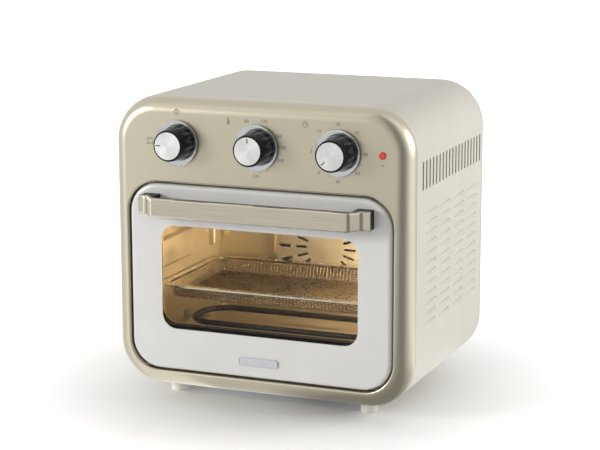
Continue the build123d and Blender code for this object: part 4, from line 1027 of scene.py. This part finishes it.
def studio_floor():
    """White paper that is lifted for the camera and gives mirrors the room's bands."""
    finish, tree, paper = new_finish("studio_paper", {"Roughness": 0.6})
    mottle(tree, paper, "#F2F2F1", "#F6F6F5", size=60 * MM)
    paper.inputs["Emission Color"].default_value = linear("#FFFFFF")
    ray = add_node(tree, "ShaderNodeLightPath", {}, {})
    seen = add_node(tree, "ShaderNodeMath", {"operation": "MAXIMUM"},
                    {0: ray.outputs["Is Camera Ray"], 1: ray.outputs["Is Transmission Ray"]})
    where = add_node(tree, "ShaderNodeTexCoord", {}, {})
    away = add_node(tree, "ShaderNodeVectorMath", {"operation": "LENGTH"}, {0: where.outputs["Object"]})
    level = add_node(tree, "ShaderNodeMapRange", {"From Min": FLOOR_NEAR, "From Max": FLOOR_FAR},
                     {"Value": away.outputs["Value"]})
    lift = add_node(tree, "ShaderNodeMath", {"operation": "MULTIPLY"},
                    {0: seen.outputs[0], 1: level.outputs["Result"]})
    tree.links.new(lift.outputs[0], paper.inputs["Emission Strength"])
    way = add_node(tree, "ShaderNodeVectorMath", {"operation": "NORMALIZE"}, {0: where.outputs["Object"]})
    in_mirror = add_node(tree, "ShaderNodeEmission", {},
                         {"Color": mirrored_room(tree, way.outputs["Vector"])})
    either = add_node(tree, "ShaderNodeMixShader", {},
                      {0: ray.outputs["Is Glossy Ray"], 1: paper.outputs["BSDF"],
                       2: in_mirror.outputs["Emission"]})
    tree.links.new(either.outputs["Shader"], tree.nodes["Material Output"].inputs["Surface"])
    mesh = bmesh.new()
    half = FLOOR_SIZE / 2
    corners = ((-half, -half, 0), (half, -half, 0), (half, half, 0), (-half, half, 0))
    mesh.faces.new([mesh.verts.new(corner) for corner in corners])
    return add_object("studio_floor", finished_mesh("studio_floor", mesh, finish))


studio_floor()
print("floor", FLOOR_SIZE, "m wide")


# %% Lights
def soft_box(name, place, target, width, watts, colour="#FFFFFF"):
    """A square area light that looks at a point."""
    light = bpy.data.lights.new(name, "AREA")
    light.size = width
    light.energy = watts
    light.color = linear(colour)[:3]
    lamp = add_object(name, light)
    lamp.location = place
    lamp.rotation_euler = (Vector(target) - Vector(place)).to_track_quat("-Z", "Y").to_euler()


OVEN_MIDDLE = (0.0, 0.0, 0.16)
soft_box("key_light", place=(-2.1, -1.9, 0.9), target=OVEN_MIDDLE, width=0.9, watts=41)
soft_box("side_light", place=(2.1, 1.1, 0.9), target=OVEN_MIDDLE, width=1.2, watts=24)
print("soft boxes:", len(bpy.data.lights))


# %% The white room
ROOM_FILL_LEVEL = 0.56
ROOM_FILL_ABOVE = 0.3


def studio_room():
    """Plain light for surfaces, weaker from above, white for the camera, and bands for mirrors."""
    room = bpy.data.worlds.new("studio_room")
    room.use_nodes = True
    tree = room.node_tree
    walls = tree.nodes["Background"]
    walls.inputs["Color"].default_value = linear("#FFFFFF")
    ray = add_node(tree, "ShaderNodeLightPath", {}, {})
    seen = add_node(tree, "ShaderNodeMath", {"operation": "MAXIMUM"},
                    {0: ray.outputs["Is Camera Ray"], 1: ray.outputs["Is Transmission Ray"]})
    where = add_node(tree, "ShaderNodeTexCoord", {}, {})
    height = add_node(tree, "ShaderNodeSeparateXYZ", {}, {"Vector": where.outputs["Generated"]})
    fill = add_node(tree, "ShaderNodeMapRange", {"To Min": ROOM_FILL_LEVEL, "To Max": ROOM_FILL_ABOVE},
                    {"Value": height.outputs["Z"]})
    plain = add_node(tree, "ShaderNodeMath", {"operation": "MAXIMUM"},
                     {0: fill.outputs["Result"], 1: seen.outputs[0]})
    level = add_node(tree, "ShaderNodeMix", {"data_type": "FLOAT"},
                     {0: ray.outputs["Is Glossy Ray"], 2: plain.outputs[0],
                      3: mirrored_room(tree, where.outputs["Generated"])})
    tree.links.new(level.outputs[0], walls.inputs["Strength"])
    return room


bpy.context.scene.world = studio_room()
print("room fill:", ROOM_FILL_LEVEL, "level with the oven,", ROOM_FILL_ABOVE, "from straight above")

# %% [markdown]
# ## The oven lamp's light
# Behind the lens sits a small bulb, whose light is warm. A small area light just inside the
# cavity stands for it and throws that warmth on the walls, the basket and the floor. The lens
# itself glows too, but a weak glow on a small face is slow to light a room and leaves it grainy,
# so the lens gives the look and the lamp gives the light.

# %% Light in the cavity
BULB_GAP = 12.0 * MM
BULB_W = 30.0 * MM
BULB_AIM = (-0.12, 0.04, 0.2)
lens_low, lens_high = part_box("oven_lamp_lens")
lens_middle = (lens_low + lens_high) / 2
bulb_place = (lens_low.x - BULB_GAP, lens_middle.y, lens_middle.z)
soft_box("oven_bulb", place=bulb_place, target=BULB_AIM, width=BULB_W, watts=1.15, colour="#FFE0BA")
print("bulb at", [round(v, 4) for v in bulb_place])

# %% [markdown]
# ## View settings
# The other views bend bright colours to look like film. Standard shows them as they were mixed,
# which the hex values above count on.

# %% Finish
bpy.context.scene.view_settings.view_transform = "Standard"
